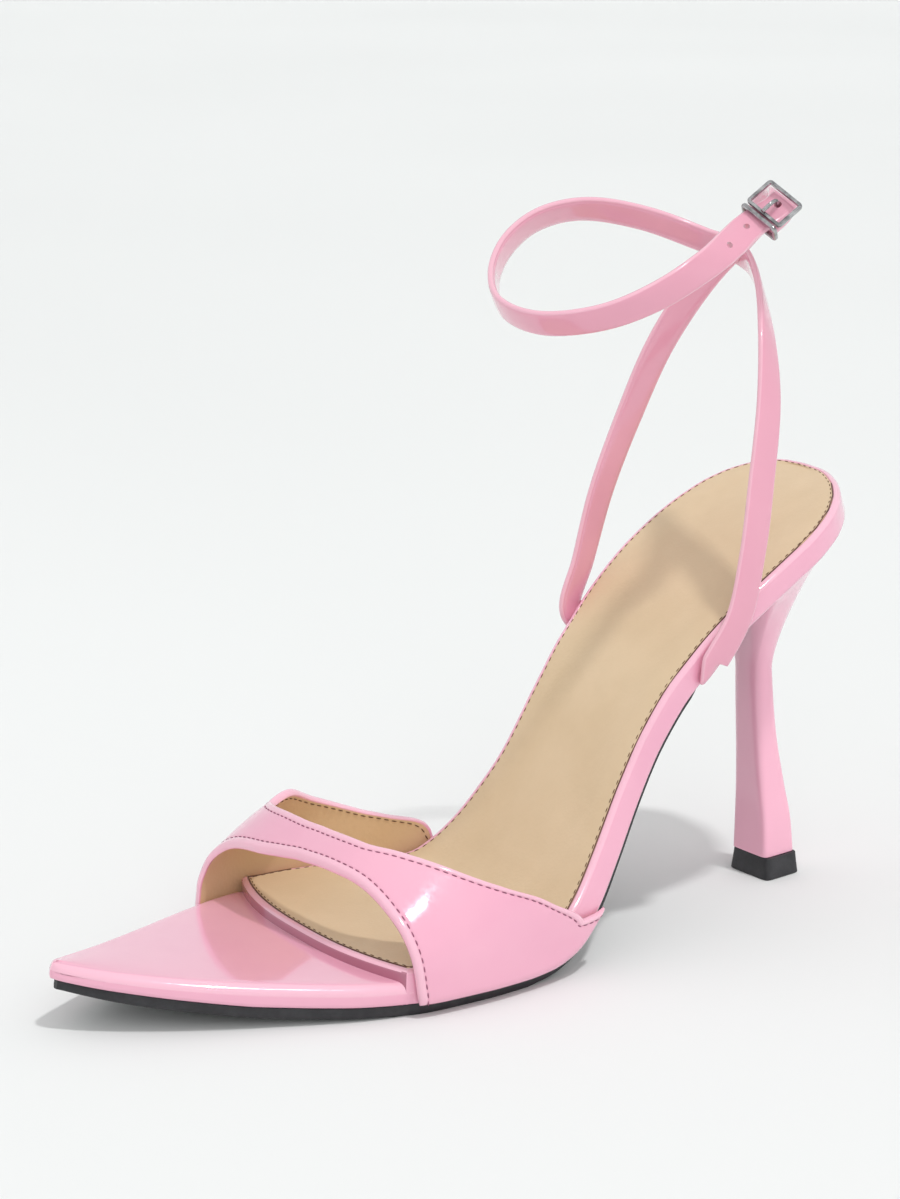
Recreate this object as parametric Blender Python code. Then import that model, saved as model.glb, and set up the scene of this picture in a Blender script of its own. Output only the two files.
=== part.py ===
"""Strappy heeled sandal, left shoe: footbed, insole, outsole, heel, top lift, vamp, ankle strap and buckle.

Frame: +X runs to the toe, +Y to the wearer's left (the outer side), +Z up, the floor at Z = 0 and the
origin at the middle of the top lift's flat bottom. Sizes are in millimetres until a mesh is written.
Tables hold shares of the sizes named here. A length share runs from the seat's back (0) to the toe (1).
"""
import bpy
import bmesh
import math
import numpy as np
from mathutils import Matrix, Vector

MM = 0.001

# Main sizes of the shoe
SHOE_LENGTH = 222.5
SEAT_BACK_X = -19.5
BALL_WIDTH = 78.5
SEAT_HEIGHT = 101.4
TOE_SPRING = 8.1
GAP = 0.3

# Footbed, insole and outsole
EDGE_ROUND = 2.2
RISE = 3.2
TOE_THICK = 5.4
WAIST_THICK = 3.6
TIP_THINNER = 1.5
SOLE_THICK = 2.6
SOLE_WAIST_THICK = 1.5
SOLE_TIP_THICK = 2.0
SOLE_INSET = 1.3
SOLE_WAIST_INSET = 4.6
SOLE_TIP_INSET = 2.2
TREAD_FLAT = 0.25
INSOLE_THICK = 0.9
INSOLE_INSET = 2.5
INSOLE_NOSE_INSET = 2.2
NOSE_SHARE = 0.715
NOSE_DROP = 6.8
NOSE_POWER = 2.6
BREAST_SHARE = 0.182

# Heel and top lift
LIFT_LENGTH = 12.2
LIFT_WIDTH = 15.0
LIFT_HEIGHT = 5.7
LIFT_SPLAY = 0.7
LIFT_REAR = 0.88
LIFT_POWER = 9.0
HEEL_TURN = 3.0
NECK_LEAN = -4.6
NECK_SHIFT = 1.6
NECK_Z = 54.0

# Vamp
VAMP_WALL = 1.8
VAMP_GAP = 0.45
VAMP_HEIGHT = 51.0
VAMP_SIDE = 7.0
SIDE_SHARE = 0.06

# Ankle strap
STRAP_WIDTH = 7.6
STRAP_THICK = 1.9
HOLE_RADIUS = 0.8
ROOT_SHARE = 0.281
LOOP_BASE = 58.0
LOOP_TOP = 177.2

# Buckle
BUCKLE_WIDTH = 11.6
BUCKLE_LENGTH = 8.6
BUCKLE_WIRE = 1.3
BUCKLE_CORNER = 1.4
KEEPER_WIRE = 1.1
KEEPER_CORNER = 0.8
PRONG_WIRE = 1.0
PRONG_REACH = 0.9
HOLE_STEPS = (9.0, 17.0)

# Outline seen from above, as shares of the shoe's length and ball width
OUTLINE = [
    # length share, outer edge, inner edge
    (0.0, -0.134, -0.134),
    (0.002, -0.046, -0.214),
    (0.011, 0.043, -0.283),
    (0.028, 0.131, -0.341),
    (0.053, 0.211, -0.385),
    (0.085, 0.273, -0.408),
    (0.125, 0.31, -0.414),
    (0.178, 0.32, -0.404),
    (0.231, 0.316, -0.375),
    (0.267, 0.312, -0.348),
    (0.303, 0.31, -0.321),
    (0.339, 0.315, -0.301),
    (0.371, 0.331, -0.297),
    (0.411, 0.371, -0.325),
    (0.447, 0.41, -0.367),
    (0.483, 0.439, -0.409),
    (0.537, 0.464, -0.462),
    (0.591, 0.476, -0.501),
    (0.645, 0.474, -0.52),
    (0.69, 0.451, -0.517),
    (0.726, 0.423, -0.492),
    (0.762, 0.382, -0.448),
    (0.807, 0.326, -0.382),
    (0.852, 0.268, -0.308),
    (0.897, 0.203, -0.232),
    (0.933, 0.143, -0.171),
    (0.964, 0.082, -0.117),
    (0.984, 0.033, -0.08),
    (0.996, -0.005, -0.054),
    (1.0, -0.029, -0.029),
]

# Side profile of the footbed's flat level: how far it has risen to the seat, and to the toe's spring
PROFILE = [
    # length share, seat share, toe spring share
    (-0.025, 1.02, 0.0),
    (0.038, 0.968, 0.0),
    (0.082, 0.925, 0.0),
    (0.126, 0.874, 0.0),
    (0.17, 0.814, 0.0),
    (0.214, 0.745, 0.0),
    (0.236, 0.706, 0.0),
    (0.258, 0.662, 0.0),
    (0.279, 0.615, 0.0),
    (0.301, 0.564, 0.0),
    (0.322, 0.503, 0.0),
    (0.341, 0.441, 0.0),
    (0.355, 0.389, 0.0),
    (0.373, 0.322, 0.0),
    (0.393, 0.25, 0.0),
    (0.414, 0.18, 0.0),
    (0.436, 0.113, 0.0),
    (0.459, 0.057, 0.0),
    (0.483, 0.018, 0.0),
    (0.51, 0.002, 0.0),
    (0.537, 0.0, 0.0),
    (0.591, 0.0, 0.0),
    (0.663, 0.0, 0.006),
    (0.717, 0.0, 0.062),
    (0.807, 0.0, 0.259),
    (0.874, 0.0, 0.469),
    (0.942, 0.0, 0.728),
    (1.004, 0.0, 1.012),
]

# Vamp cross-sections: height over the footbed's bottom, and how square each shoulder is
VAMP_SECTION = [
    # length share, height share, outer power, inner power
    (0.411, 1, 2.5, 3.2),
    (0.515, 0.931, 2.5, 3.2),
    (0.562, 0.865, 2.35, 3.15),
    (0.591, 0.824, 2.2, 3.15),
    (0.627, 0.765, 2.05, 3.15),
    (0.672, 0.659, 1.95, 3.1),
    (0.706, 0.549, 1.95, 3),
    (0.726, 0.478, 2, 2.95),
    (0.753, 0.431, 2, 2.9),
]

# Vamp edges round the foot, from the outer side (0) over the top to the inner side (1)
VAMP_EDGES = [
    # share round the foot, front and rear edge as length shares
    (0.0, 0.674, 0.425),
    (0.06, 0.678, 0.463),
    (0.122, 0.681, 0.519),
    (0.171, 0.684, 0.562),
    (0.241, 0.69, 0.607),
    (0.334, 0.698, 0.649),
    (0.412, 0.706, 0.671),
    (0.5, 0.713, 0.679),
    (0.537, 0.718, 0.681),
    (0.598, 0.723, 0.679),
    (0.686, 0.724, 0.669),
    (0.744, 0.726, 0.633),
    (0.823, 0.733, 0.595),
    (0.884, 0.738, 0.541),
    (0.93, 0.744, 0.481),
    (1.0, 0.75, 0.425),
]

# Ankle strap paths: centre line as shares of length, ball width and loop height, and the way the outer
# face looks
LONG_PATH = [
    # length share, width share, height share, nx, ny, nz
    (0.262, 0.339, 0.084, 0.0, 1, 0.05),
    (0.236, 0.354, 0.168, 0.04, 1, -0.05),
    (0.216, 0.345, 0.299, 0.06, 1, -0.15),
    (0.198, 0.316, 0.442, 0.06, 1, -0.1),
    (0.173, 0.254, 0.596, -0.08, 1, 0.05),
    (0.15, 0.15, 0.732, -0.5, 0.86, 0.25),
    (0.129, 0.027, 0.816, -0.88, 0.48, 0.33),
    (0.116, -0.106, 0.856, -0.96, -0.25, 0.45),
    (0.133, -0.233, 0.878, -0.72, -0.7, 0.6),
    (0.185, -0.348, 0.921, -0.35, -0.94, 0.8),
    (0.256, -0.396, 0.947, 0.0, -1, 0.8),
    (0.324, -0.377, 0.935, 0.3, -0.95, 0.5),
    (0.382, -0.311, 0.893, 0.6, -0.8, 0.1),
    (0.423, -0.209, 0.84, 0.85, -0.53, -0.25),
    (0.444, -0.073, 0.797, 1, -0.1, -0.6),
    (0.434, 0.088, 0.779, 0.86, 0.5, -0.75),
    (0.389, 0.22, 0.794, 0.55, 0.83, -0.6),
    (0.333, 0.285, 0.834, 0.25, 0.96, -0.25),
    (0.278, 0.312, 0.889, 0.08, 0.98, 0.05),
    (0.241, 0.292, 0.923, 0.25, 0.85, 0.4),
    (0.216, 0.27, 0.946, 0.45, 0.65, 0.57),
    (0.197, 0.269, 0.964, 0.54, 0.56, 0.6),
    (0.178, 0.278, 0.982, 0.55, 0.54, 0.64),
    (0.165, 0.283, 1, 0.55, 0.54, 0.64),
]
SHORT_PATH = [
    # length share, width share, height share, nx, ny, nz
    (0.277, -0.372, 0.101, 0.24, -1, 0.05),
    (0.26, -0.373, 0.198, 0.14, -1, 0.15),
    (0.238, -0.362, 0.349, -0.04, -1, 0.25),
    (0.209, -0.329, 0.508, -0.2, -0.98, 0.3),
    (0.182, -0.268, 0.663, -0.42, -0.9, 0.35),
    (0.147, -0.185, 0.801, -0.7, -0.71, 0.35),
    (0.12, -0.103, 0.888, -0.93, -0.36, 0.33),
    (0.113, -0.025, 0.94, -0.96, -0.1, 0.4),
    (0.119, 0.059, 0.976, -0.8, 0.25, 0.58),
    (0.132, 0.143, 0.99, -0.4, 0.5, 0.78),
    (0.149, 0.21, 0.987, 0.2, 0.55, 0.79),
    (0.172, 0.259, 0.969, 0.52, 0.55, 0.66),
    (0.191, 0.252, 0.944, 0.54, 0.55, 0.64),
]

# Heel rings: height, length and width shares of the neck's height and of the top lift, and the shift and
# lean as shares of the neck's
HEEL_RINGS = [
    # height share, half length share, half width share, power, lean share, shift share, rear share
    (0.0, 0.467, 0.453, 9.0, 0.08, 0.0, 0.88),
    (0.26, 0.43, 0.42, 7.5, 0.22, 0.1, 0.88),
    (0.444, 0.38, 0.375, 5.5, 0.45, 0.35, 0.88),
    (0.63, 0.337, 0.35, 4.0, 0.68, 0.65, 0.88),
    (0.815, 0.308, 0.34, 3.2, 0.87, 0.9, 0.95),
    (1.0, 0.3, 0.34, 2.7, 1.0, 1.0, 0.95),
]

# Where the mesh rows lie along the shoe: from this length share on, one row each step
STATIONS = [
    # length share, step share
    (0.0, 0.003),
    (0.009, 0.0145),
    (0.088, 0.0225),
    (0.312, 0.016),
    (0.425, 0.0125),
    (0.537, 0.0225),
    (0.65, 0.009),
    (0.668, 0.0055),
    (0.735, 0.018),
    (0.829, 0.0225),
    (0.964, 0.0072),
]

# Cross-section of the strap, as shares of its half width and half thickness
STRAP_SECTION = [
    (1.0, 0.3), (0.94, 0.8), (0.8, 1.0), (-0.8, 1.0), (-0.94, 0.8), (-1.0, 0.3),
    (-1.0, -0.3), (-0.94, -0.8), (-0.8, -1.0), (0.8, -1.0), (0.94, -0.8), (1.0, -0.3),
]

# Middle of the buckle, as shares like those of the strap paths, and its directions
BUCKLE_SHARES = (0.1835, 0.2935, 0.9945)
BUCKLE_ALONG = (-0.80, 0.12, 0.585)
BUCKLE_OUT = (0.547, 0.543, 0.639)

FLAT_LEVEL = TOE_THICK + GAP + SOLE_THICK


def lengthwise(share):
    """Place along the shoe at a share of its length."""
    return SEAT_BACK_X + share * SHOE_LENGTH


def loop_height(share):
    """Height at a share of the way from the strap roots to the top of the loop."""
    return LOOP_BASE + share * (LOOP_TOP - LOOP_BASE)


TOE_X = lengthwise(1.0)
NOSE_X = lengthwise(NOSE_SHARE)
BREAST_X = lengthwise(BREAST_SHARE)
OUTLINE_X = np.array([lengthwise(row[0]) for row in OUTLINE])
OUTLINE_OUTER = np.array([row[1] * BALL_WIDTH for row in OUTLINE])
OUTLINE_INNER = np.array([row[2] * BALL_WIDTH for row in OUTLINE])
PROFILE_X = np.array([lengthwise(row[0]) for row in PROFILE])
SEAT_RISE = SEAT_HEIGHT - FLAT_LEVEL
PROFILE_Z = np.array([FLAT_LEVEL + row[1] * SEAT_RISE + row[2] * TOE_SPRING for row in PROFILE])


def clear_scene():
    """Empty the start-up scene, object by object."""
    for thing in list(bpy.data.objects):
        bpy.data.objects.remove(thing, do_unlink=True)
    for group in list(bpy.data.collections):
        bpy.data.collections.remove(group)


def column(table, index):
    """One column of a table as an array."""
    return np.array([row[index] for row in table], dtype=float)


def smooth(xs, ys, x):
    """Smooth curve through a table that never overshoots (monotone cubic)."""
    xs = np.asarray(xs, dtype=float)
    ys = np.asarray(ys, dtype=float)
    h = np.diff(xs)
    d = np.diff(ys) / h
    m = np.zeros(len(xs))
    m[0] = d[0]
    m[-1] = d[-1]
    for i in range(1, len(xs) - 1):
        if d[i - 1] * d[i] > 0:
            w1 = 2 * h[i] + h[i - 1]
            w2 = h[i] + 2 * h[i - 1]
            m[i] = (w1 + w2) / (w1 / d[i - 1] + w2 / d[i])
    x = np.clip(x, xs[0], xs[-1])
    k = np.clip(np.searchsorted(xs, x) - 1, 0, len(xs) - 2)
    t = (x - xs[k]) / h[k]
    t2 = t * t
    t3 = t2 * t
    return (
        (2 * t3 - 3 * t2 + 1) * ys[k]
        + (t3 - 2 * t2 + t) * h[k] * m[k]
        + (3 * t2 - 2 * t3) * ys[k + 1]
        + (t3 - t2) * h[k] * m[k + 1]
    )


def along_shoe(shares, values, x):
    """Smooth curve through values given at length shares."""
    return smooth([lengthwise(share) for share in shares], values, x)


def profile_point(x, n):
    """Point over the profile at x, moved n along the profile's normal."""
    x = np.asarray(x, dtype=float)
    reach = SHOE_LENGTH * 0.007
    z = smooth(PROFILE_X, PROFILE_Z, x)
    slope = (smooth(PROFILE_X, PROFILE_Z, x + reach) - smooth(PROFILE_X, PROFILE_Z, x - reach)) / (2 * reach)
    size = np.sqrt(1.0 + slope * slope)
    return x - n * slope / size, z + n / size


def edges(x):
    """Outer and inner edge of the footbed at x."""
    return smooth(OUTLINE_X, OUTLINE_OUTER, x), smooth(OUTLINE_X, OUTLINE_INNER, x)


def thickness(x):
    """Footbed thickness below its flat level: thinner through the waist, and at the toe's tip."""
    base = along_shoe((0.357, 0.537), (WAIST_THICK, TOE_THICK), x)
    return base - along_shoe((0.829, 1.0), (0.0, TIP_THINNER), x)


def vamp_grid():
    """Places along the shoe under the vamp, close together."""
    return np.linspace(lengthwise(0.357), lengthwise(0.77), 181)


def underside(x):
    """Height of the footbed's underside straight below x."""
    grid = vamp_grid()
    px, pz = profile_point(grid, -thickness(grid))
    return float(np.interp(x, px, pz))


def wall_edges(x):
    """Widest outer and inner edge of the footbed's side wall straight above x."""
    grid = vamp_grid()
    outer = []
    inner = []
    for n in (-thickness(grid), np.full(grid.shape, RISE)):
        px, _ = profile_point(grid, n)
        one, two = edges(float(np.interp(x, px, grid)))
        outer.append(float(one))
        inner.append(float(two))
    return max(outer), min(inner)


def sole_inset(x):
    """Inset of the outsole from the footbed's edge."""
    insets = (SOLE_WAIST_INSET, SOLE_WAIST_INSET, SOLE_INSET, SOLE_INSET, SOLE_TIP_INSET)
    return along_shoe((0.2, 0.42, 0.54, 0.762, 1.0), insets, x)


def sole_thickness(x):
    """Outsole thickness: thin through the waist and a little thinner at the tip."""
    thick = (SOLE_WAIST_THICK, SOLE_WAIST_THICK, SOLE_THICK, SOLE_THICK, SOLE_TIP_THICK)
    return along_shoe((0.2, 0.4, 0.53, 0.91, 1.0), thick, x)


def ease(t):
    """Smooth step from 0 to 1."""
    t = np.clip(t, 0.0, 1.0)
    return t * t * (3 - 2 * t)


def rise(x, y):
    """Height of the insole board over the toe shelf, zero ahead of its curved nose."""
    outer, inner = edges(x)
    mid = (outer + inner) / 2
    half = np.maximum((outer - inner) / 2, 1.0)
    nose = NOSE_X - NOSE_DROP * np.abs((y - mid) / half) ** NOSE_POWER
    return RISE * ease((nose - x) / (RISE / 2) + 0.5)


def stations(start, end):
    """Stations along the shoe, closer together at both ends, the arch and the nose."""
    marks = [lengthwise(row[0]) for row in STATIONS]
    least = SHOE_LENGTH * 0.0015
    xs = [start]
    while xs[-1] < end - least:
        k = max(int(np.searchsorted(marks, xs[-1] + least / 10)) - 1, 0)
        xs.append(min(xs[-1] + STATIONS[k][1] * SHOE_LENGTH, end))
    if xs[-1] - xs[-2] < least:
        xs.pop(-2)
    return np.array(xs)


def outline_loop(xs):
    """Closed outline through the stations: outer side from back to toe, then inner side back."""
    outer, inner = edges(xs)
    n = len(xs)
    loop = [(xs[i], outer[i]) for i in range(n)]
    loop += [(xs[i], inner[i]) for i in range(n - 2, 0, -1)]
    return np.array(loop)


def inset_loop(loop, amounts):
    """Loop moved inwards by the given amount at each point."""
    ahead = np.roll(loop, -1, axis=0)
    behind = np.roll(loop, 1, axis=0)
    t = ahead - behind
    t /= np.linalg.norm(t, axis=1)[:, None]
    normal = np.stack([t[:, 1], -t[:, 0]], axis=1)
    return loop + normal * np.asarray(amounts)[:, None]


def spans_across(count):
    """Matching outer and inner indices of an outline loop with its ends shared."""
    n = (count + 2) // 2
    return [(0, 0)] + [(i, count - i) for i in range(1, n - 1)] + [(n - 1, n - 1)]


def new_object(name, verts, faces, mat, group, smooth_angle):
    """Mesh object from millimetre points, normals outward, in the part's collection."""
    mesh = bpy.data.meshes.new(name)
    mesh.from_pydata([tuple(float(c) * MM for c in v) for v in verts], [], faces)
    mesh.validate()
    bm = bmesh.new()
    bm.from_mesh(mesh)
    bmesh.ops.remove_doubles(bm, verts=bm.verts, dist=0.000002)
    bmesh.ops.recalc_face_normals(bm, faces=bm.faces)
    bmesh.ops.triangulate(bm, faces=bm.faces, quad_method="BEAUTY", ngon_method="BEAUTY")
    bm.to_mesh(mesh)
    bm.free()
    mesh.materials.append(mat)
    thing = bpy.data.objects.new(name, mesh)
    group.objects.link(thing)
    mesh.shade_smooth()
    mesh.set_sharp_from_angle(angle=math.radians(smooth_angle))
    return thing


def material(name, colour, rough, metallic=0.0):
    """Plain Principled material."""
    mat = bpy.data.materials.new(name)
    mat.use_nodes = True
    shader = mat.node_tree.nodes["Principled BSDF"]
    shader.inputs["Base Color"].default_value = (*colour, 1.0)
    shader.inputs["Roughness"].default_value = rough
    shader.inputs["Metallic"].default_value = metallic
    return mat


def loft(rings):
    """Faces between rings of equal length."""
    width = len(rings[0])
    faces = []
    for k in range(len(rings) - 1):
        for i in range(width):
            j = (i + 1) % width
            faces.append((k * width + i, k * width + j, (k + 1) * width + j, (k + 1) * width + i))
    return faces


def cap(start, ring, height, columns, verts):
    """Faces that close a loop of the slab, with rows of points across it when columns is over 1."""
    rows = []
    for a, b in spans_across(len(ring)):
        if a == b:
            rows.append([start + a])
            continue
        row = [start + a]
        for c in range(1, columns):
            t = c / columns
            p = ring[a] * (1 - t) + ring[b] * t
            qx, qz = profile_point(p[0], height(p[0], p[1]))
            verts.append((float(qx), p[1], float(qz)))
            row.append(len(verts) - 1)
        row.append(start + b)
        rows.append(row)
    faces = []
    for one, two in zip(rows[:-1], rows[1:]):
        if len(one) == 1:
            faces += [(one[0], two[c], two[c + 1]) for c in range(len(two) - 1)]
        elif len(two) == 1:
            faces += [(two[0], one[c + 1], one[c]) for c in range(len(one) - 1)]
        else:
            faces += [(one[c], two[c], two[c + 1], one[c + 1]) for c in range(len(one) - 1)]
    return faces


def slab(name, xs, levels, mat, group):
    """Bent slab over the profile: one outline loop per level (inset function, height function)."""
    loop = outline_loop(xs)
    count = len(loop)
    rings = []
    verts = []
    for inset, height in levels:
        ring = inset_loop(loop, inset(loop[:, 0]))
        rings.append(ring)
        px, pz = profile_point(ring[:, 0], height(ring[:, 0], ring[:, 1]))
        verts += [(px[i], ring[i, 1], pz[i]) for i in range(count)]
    faces = loft(rings)
    faces += cap(0, rings[0], levels[0][1], 1, verts)
    faces += cap((len(levels) - 1) * count, rings[-1], levels[-1][1], 7, verts)
    return new_object(name, verts, faces, mat, group, 35)


def make_footbed(mat, group):
    """Pink-wrapped platform with a soft edge, a toe shelf and a raised insole board."""

    def tip_safe(amount):
        return lambda x: amount * along_shoe((0.0, 0.937, 1.0), (1.0, 1.0, 0.62), x)

    def under(extra):
        return lambda x, y: extra - thickness(x)

    def over(drop):
        return lambda x, y: rise(x, y) - drop

    r = EDGE_ROUND
    levels = [
        (tip_safe(r * 0.5), under(0.0)),
        (tip_safe(r * 0.15), under(r * 0.15)),
        (tip_safe(0.0), under(r * 0.5)),
        (tip_safe(0.0), over(r)),
        (tip_safe(r * 0.16), over(r * 0.52)),
        (tip_safe(r * 0.45), over(r * 0.17)),
        (tip_safe(r), over(0.0)),
    ]
    slab("footbed", stations(SEAT_BACK_X, TOE_X), levels, mat, group)


def insole_outline():
    """Outline of the insole cover: place along the shoe, outer edge and inner edge."""
    keep = NOSE_X - INSOLE_NOSE_INSET
    back_end = SEAT_BACK_X + INSOLE_INSET
    outer, inner = edges(SEAT_BACK_X)
    rows = [(back_end, float(outer + inner) / 2, float(outer + inner) / 2)]
    for x in stations(SEAT_BACK_X, NOSE_X)[1:]:
        back = x + INSOLE_INSET * float(along_shoe((0.0, 0.054), (1.0, 0.0), x))
        outer, inner = edges(back)
        room = float(outer - inner) / 2
        centre = float(outer + inner) / 2
        half = room - INSOLE_INSET
        if x < lengthwise(0.04):
            half = room * (1 - INSOLE_INSET / BALL_WIDTH * 3.2) - INSOLE_INSET * 0.24
        nose = (keep - back) / NOSE_DROP
        if nose > 0:
            half = min(half, room * min(1.0, nose) ** (1 / NOSE_POWER) - INSOLE_INSET * 0.55)
        if nose <= 0 or half < INSOLE_INSET * 0.6:
            rows.append((keep, centre, centre))
            break
        rows.append((back, centre + half, centre - half))
    return rows


def make_insole(mat, group):
    """Tan insole cover on the raised board."""
    rows = insole_outline()
    loop = np.array([(r[0], r[1]) for r in rows] + [(r[0], r[2]) for r in rows[-2:0:-1]])
    size = len(loop)
    low = RISE + GAP
    levels = [(0.0, low), (0.0, low + INSOLE_THICK * 0.45), (INSOLE_THICK * 0.5, low + INSOLE_THICK)]
    verts = []
    rings = []
    for inset, height in levels:
        ring = inset_loop(loop, np.full(size, inset))
        rings.append(ring)
        px, pz = profile_point(ring[:, 0], height)
        verts += [(px[i], ring[i, 1], pz[i]) for i in range(size)]
    faces = loft(rings)
    faces += cap(0, rings[0], lambda x, y: low, 1, verts)
    faces += cap(2 * size, rings[2], lambda x, y: low + INSOLE_THICK, 1, verts)
    new_object("insole", verts, faces, mat, group, 35)


def make_outsole(mat, group):
    """Black outsole from the heel breast to the toe, its tread flat on the floor."""
    xs = stations(BREAST_X + 4 * GAP, TOE_X)
    xs = xs[xs < TOE_X - SOLE_TIP_INSET]
    outer, inner = edges(xs)
    inset = sole_inset(xs)
    thick = sole_thickness(xs)
    rings = []
    for i, x in enumerate(xs):
        half = max((outer[i] - inner[i]) / 2 - inset[i], SOLE_TIP_THICK * 0.4)
        mid = (outer[i] + inner[i]) / 2
        top = -float(thickness(x)) - GAP
        low = top - thick[i]
        bevel = min(SOLE_THICK * 0.27, half * 0.4)
        side = [
            (half - bevel * 0.35, top),
            (half, top - thick[i] * 0.16),
            (half, low + thick[i] * 0.35),
            (half - bevel, low),
        ]
        section = side + [(0.0, low)] + [(-y, n) for y, n in side[::-1]] + [(0.0, top)]
        ring = []
        for y, n in section:
            px, pz = profile_point(x, n)
            ring.append((float(px), mid + y, float(pz)))
        rings.append(ring)
    verts = [v for ring in rings for v in ring]
    width = len(rings[0])
    faces = loft(rings)
    faces.append(tuple(range(width)))
    faces.append(tuple(range((len(rings) - 1) * width, len(rings) * width)))
    thing = new_object("outsole", verts, faces, mat, group, 30)
    for v in thing.data.vertices:
        if v.co.z < TREAD_FLAT * MM:
            v.co.z = 0.0


def super_ring(count, half_x, half_y, power, centre, z, rear):
    """Rounded-square ring of points, starting at the back and going over the outer side."""
    points = []
    for i in range(count):
        a = 2 * math.pi * i / count
        cx = -math.cos(a)
        cy = math.sin(a)
        px = math.copysign(abs(cx) ** (2 / power), cx) * half_x
        py = math.copysign(abs(cy) ** (2 / power), cy) * half_y
        py *= 1.0 + (rear - 1.0) * 0.5 * (1 - px / half_x)
        points.append((centre[0] + px, centre[1] + py, z))
    return points


def turned(points):
    """Heel points turned about the vertical by the heel's own angle."""
    c = math.cos(math.radians(HEEL_TURN))
    s = math.sin(math.radians(HEEL_TURN))
    return [(x * c - y * s, x * s + y * c, z) for x, y, z in points]


def seat_ring(count):
    """Top ring of the heel under the seat: the footbed's outline back of the breast."""
    start = SEAT_BACK_X + EDGE_ROUND * 0.6
    end = BREAST_X - GAP
    half = (end - start) / 2
    mid = (end + start) / 2
    ring = []
    for i in range(count):
        a = 2 * math.pi * i / count
        cx = -math.cos(a)
        cy = math.sin(a)
        px = math.copysign(abs(cx) ** 0.9, cx)
        spread = 1.02 / max(math.sqrt(max(1 - px * px, 0.0)), 0.05)
        if cx > 0:
            px = min(1.0, px * 1.12)
            spread = 1.25
        x = mid + half * px
        outer, inner = edges(x - GAP * 2)
        centre = float(outer + inner) / 2
        room = float(outer - inner) / 2 - EDGE_ROUND * 0.5
        y = centre
        if abs(cy) > 0.001:
            y = centre + math.copysign(room * min(1.0, abs(cy) ** 0.9 * spread), cy)
        qx, qz = profile_point(x, -float(thickness(x)) - GAP)
        ring.append((float(qx), y, float(qz)))
    return ring


def flare_point(low, high, angle, t):
    """Point at t on the curve from the heel's neck up to its top ring, hollow at the back and sides."""
    back = max(math.cos(angle), 0.0)
    front = max(-math.cos(angle), 0.0)
    side = abs(math.sin(angle))
    weight = back + front + side
    inward = (0.45 * back + 0.62 * front + 0.5 * side) / weight
    drop = NECK_Z * (0.22 * back + 0.04 * front + 0.15 * side) / weight
    climb = NECK_Z * (0.167 * back + 0.148 * front + 0.167 * side) / weight
    p0 = np.array(low)
    p3 = np.array(high)
    p1 = p0 + np.array([0.0, 0.0, climb])
    p2 = p3 + np.array([(p0[0] - p3[0]) * inward, (p0[1] - p3[1]) * inward, -drop])
    s = 1 - t
    return tuple(s ** 3 * p0 + 3 * s * s * t * p1 + 3 * s * t * t * p2 + t ** 3 * p3)


def make_heel(mat, group):
    """Slim heel: a rounded-square foot, a slim neck and a flared top under the seat."""
    count = 40
    steps = 9
    foot_z = LIFT_HEIGHT + GAP
    rings = []
    for height, half_x, half_y, power, lean, shift, rear in HEEL_RINGS:
        z = max(height * NECK_Z, foot_z)
        centre = (NECK_SHIFT * shift, NECK_LEAN * lean)
        rings.append(turned(super_ring(
            count, half_x * LIFT_LENGTH, half_y * LIFT_WIDTH, power, centre, z, rear)))
    neck = rings[-1]
    top = seat_ring(count)
    for k in range(1, steps + 1):
        t = k / steps
        rings.append([flare_point(neck[i], top[i], 2 * math.pi * i / count, t) for i in range(count)])
    verts = [v for ring in rings for v in ring]
    faces = loft(rings)
    faces.append(tuple(range(count)))
    base = (len(rings) - 1) * count
    rows = spans_across(count)
    for (a, ma), (b, mb) in zip(rows[:-1], rows[1:]):
        face = [base + a, base + b, base + mb, base + ma]
        faces.append(tuple(dict.fromkeys(face)))
    new_object("heel", verts, faces, mat, group, 40)


def make_lift(mat, group):
    """Black top lift, splayed a little towards the floor."""
    count = 40
    half_x = LIFT_LENGTH / 2
    half_y = LIFT_WIDTH / 2
    levels = [
        (0.0, LIFT_SPLAY * 0.35),
        (LIFT_HEIGHT * 0.05, 0.0),
        (LIFT_HEIGHT * 0.965, LIFT_SPLAY * 0.75),
        (LIFT_HEIGHT, LIFT_SPLAY),
    ]
    rings = []
    for z, less in levels:
        rings.append(turned(super_ring(
            count, half_x - less, half_y - less, LIFT_POWER, (0.0, 0.0), z, LIFT_REAR)))
    verts = [v for ring in rings for v in ring]
    faces = loft(rings)
    faces.append(tuple(range(count)))
    faces.append(tuple(range(3 * count, 4 * count)))
    new_object("top_lift", verts, faces, mat, group, 30)


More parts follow.
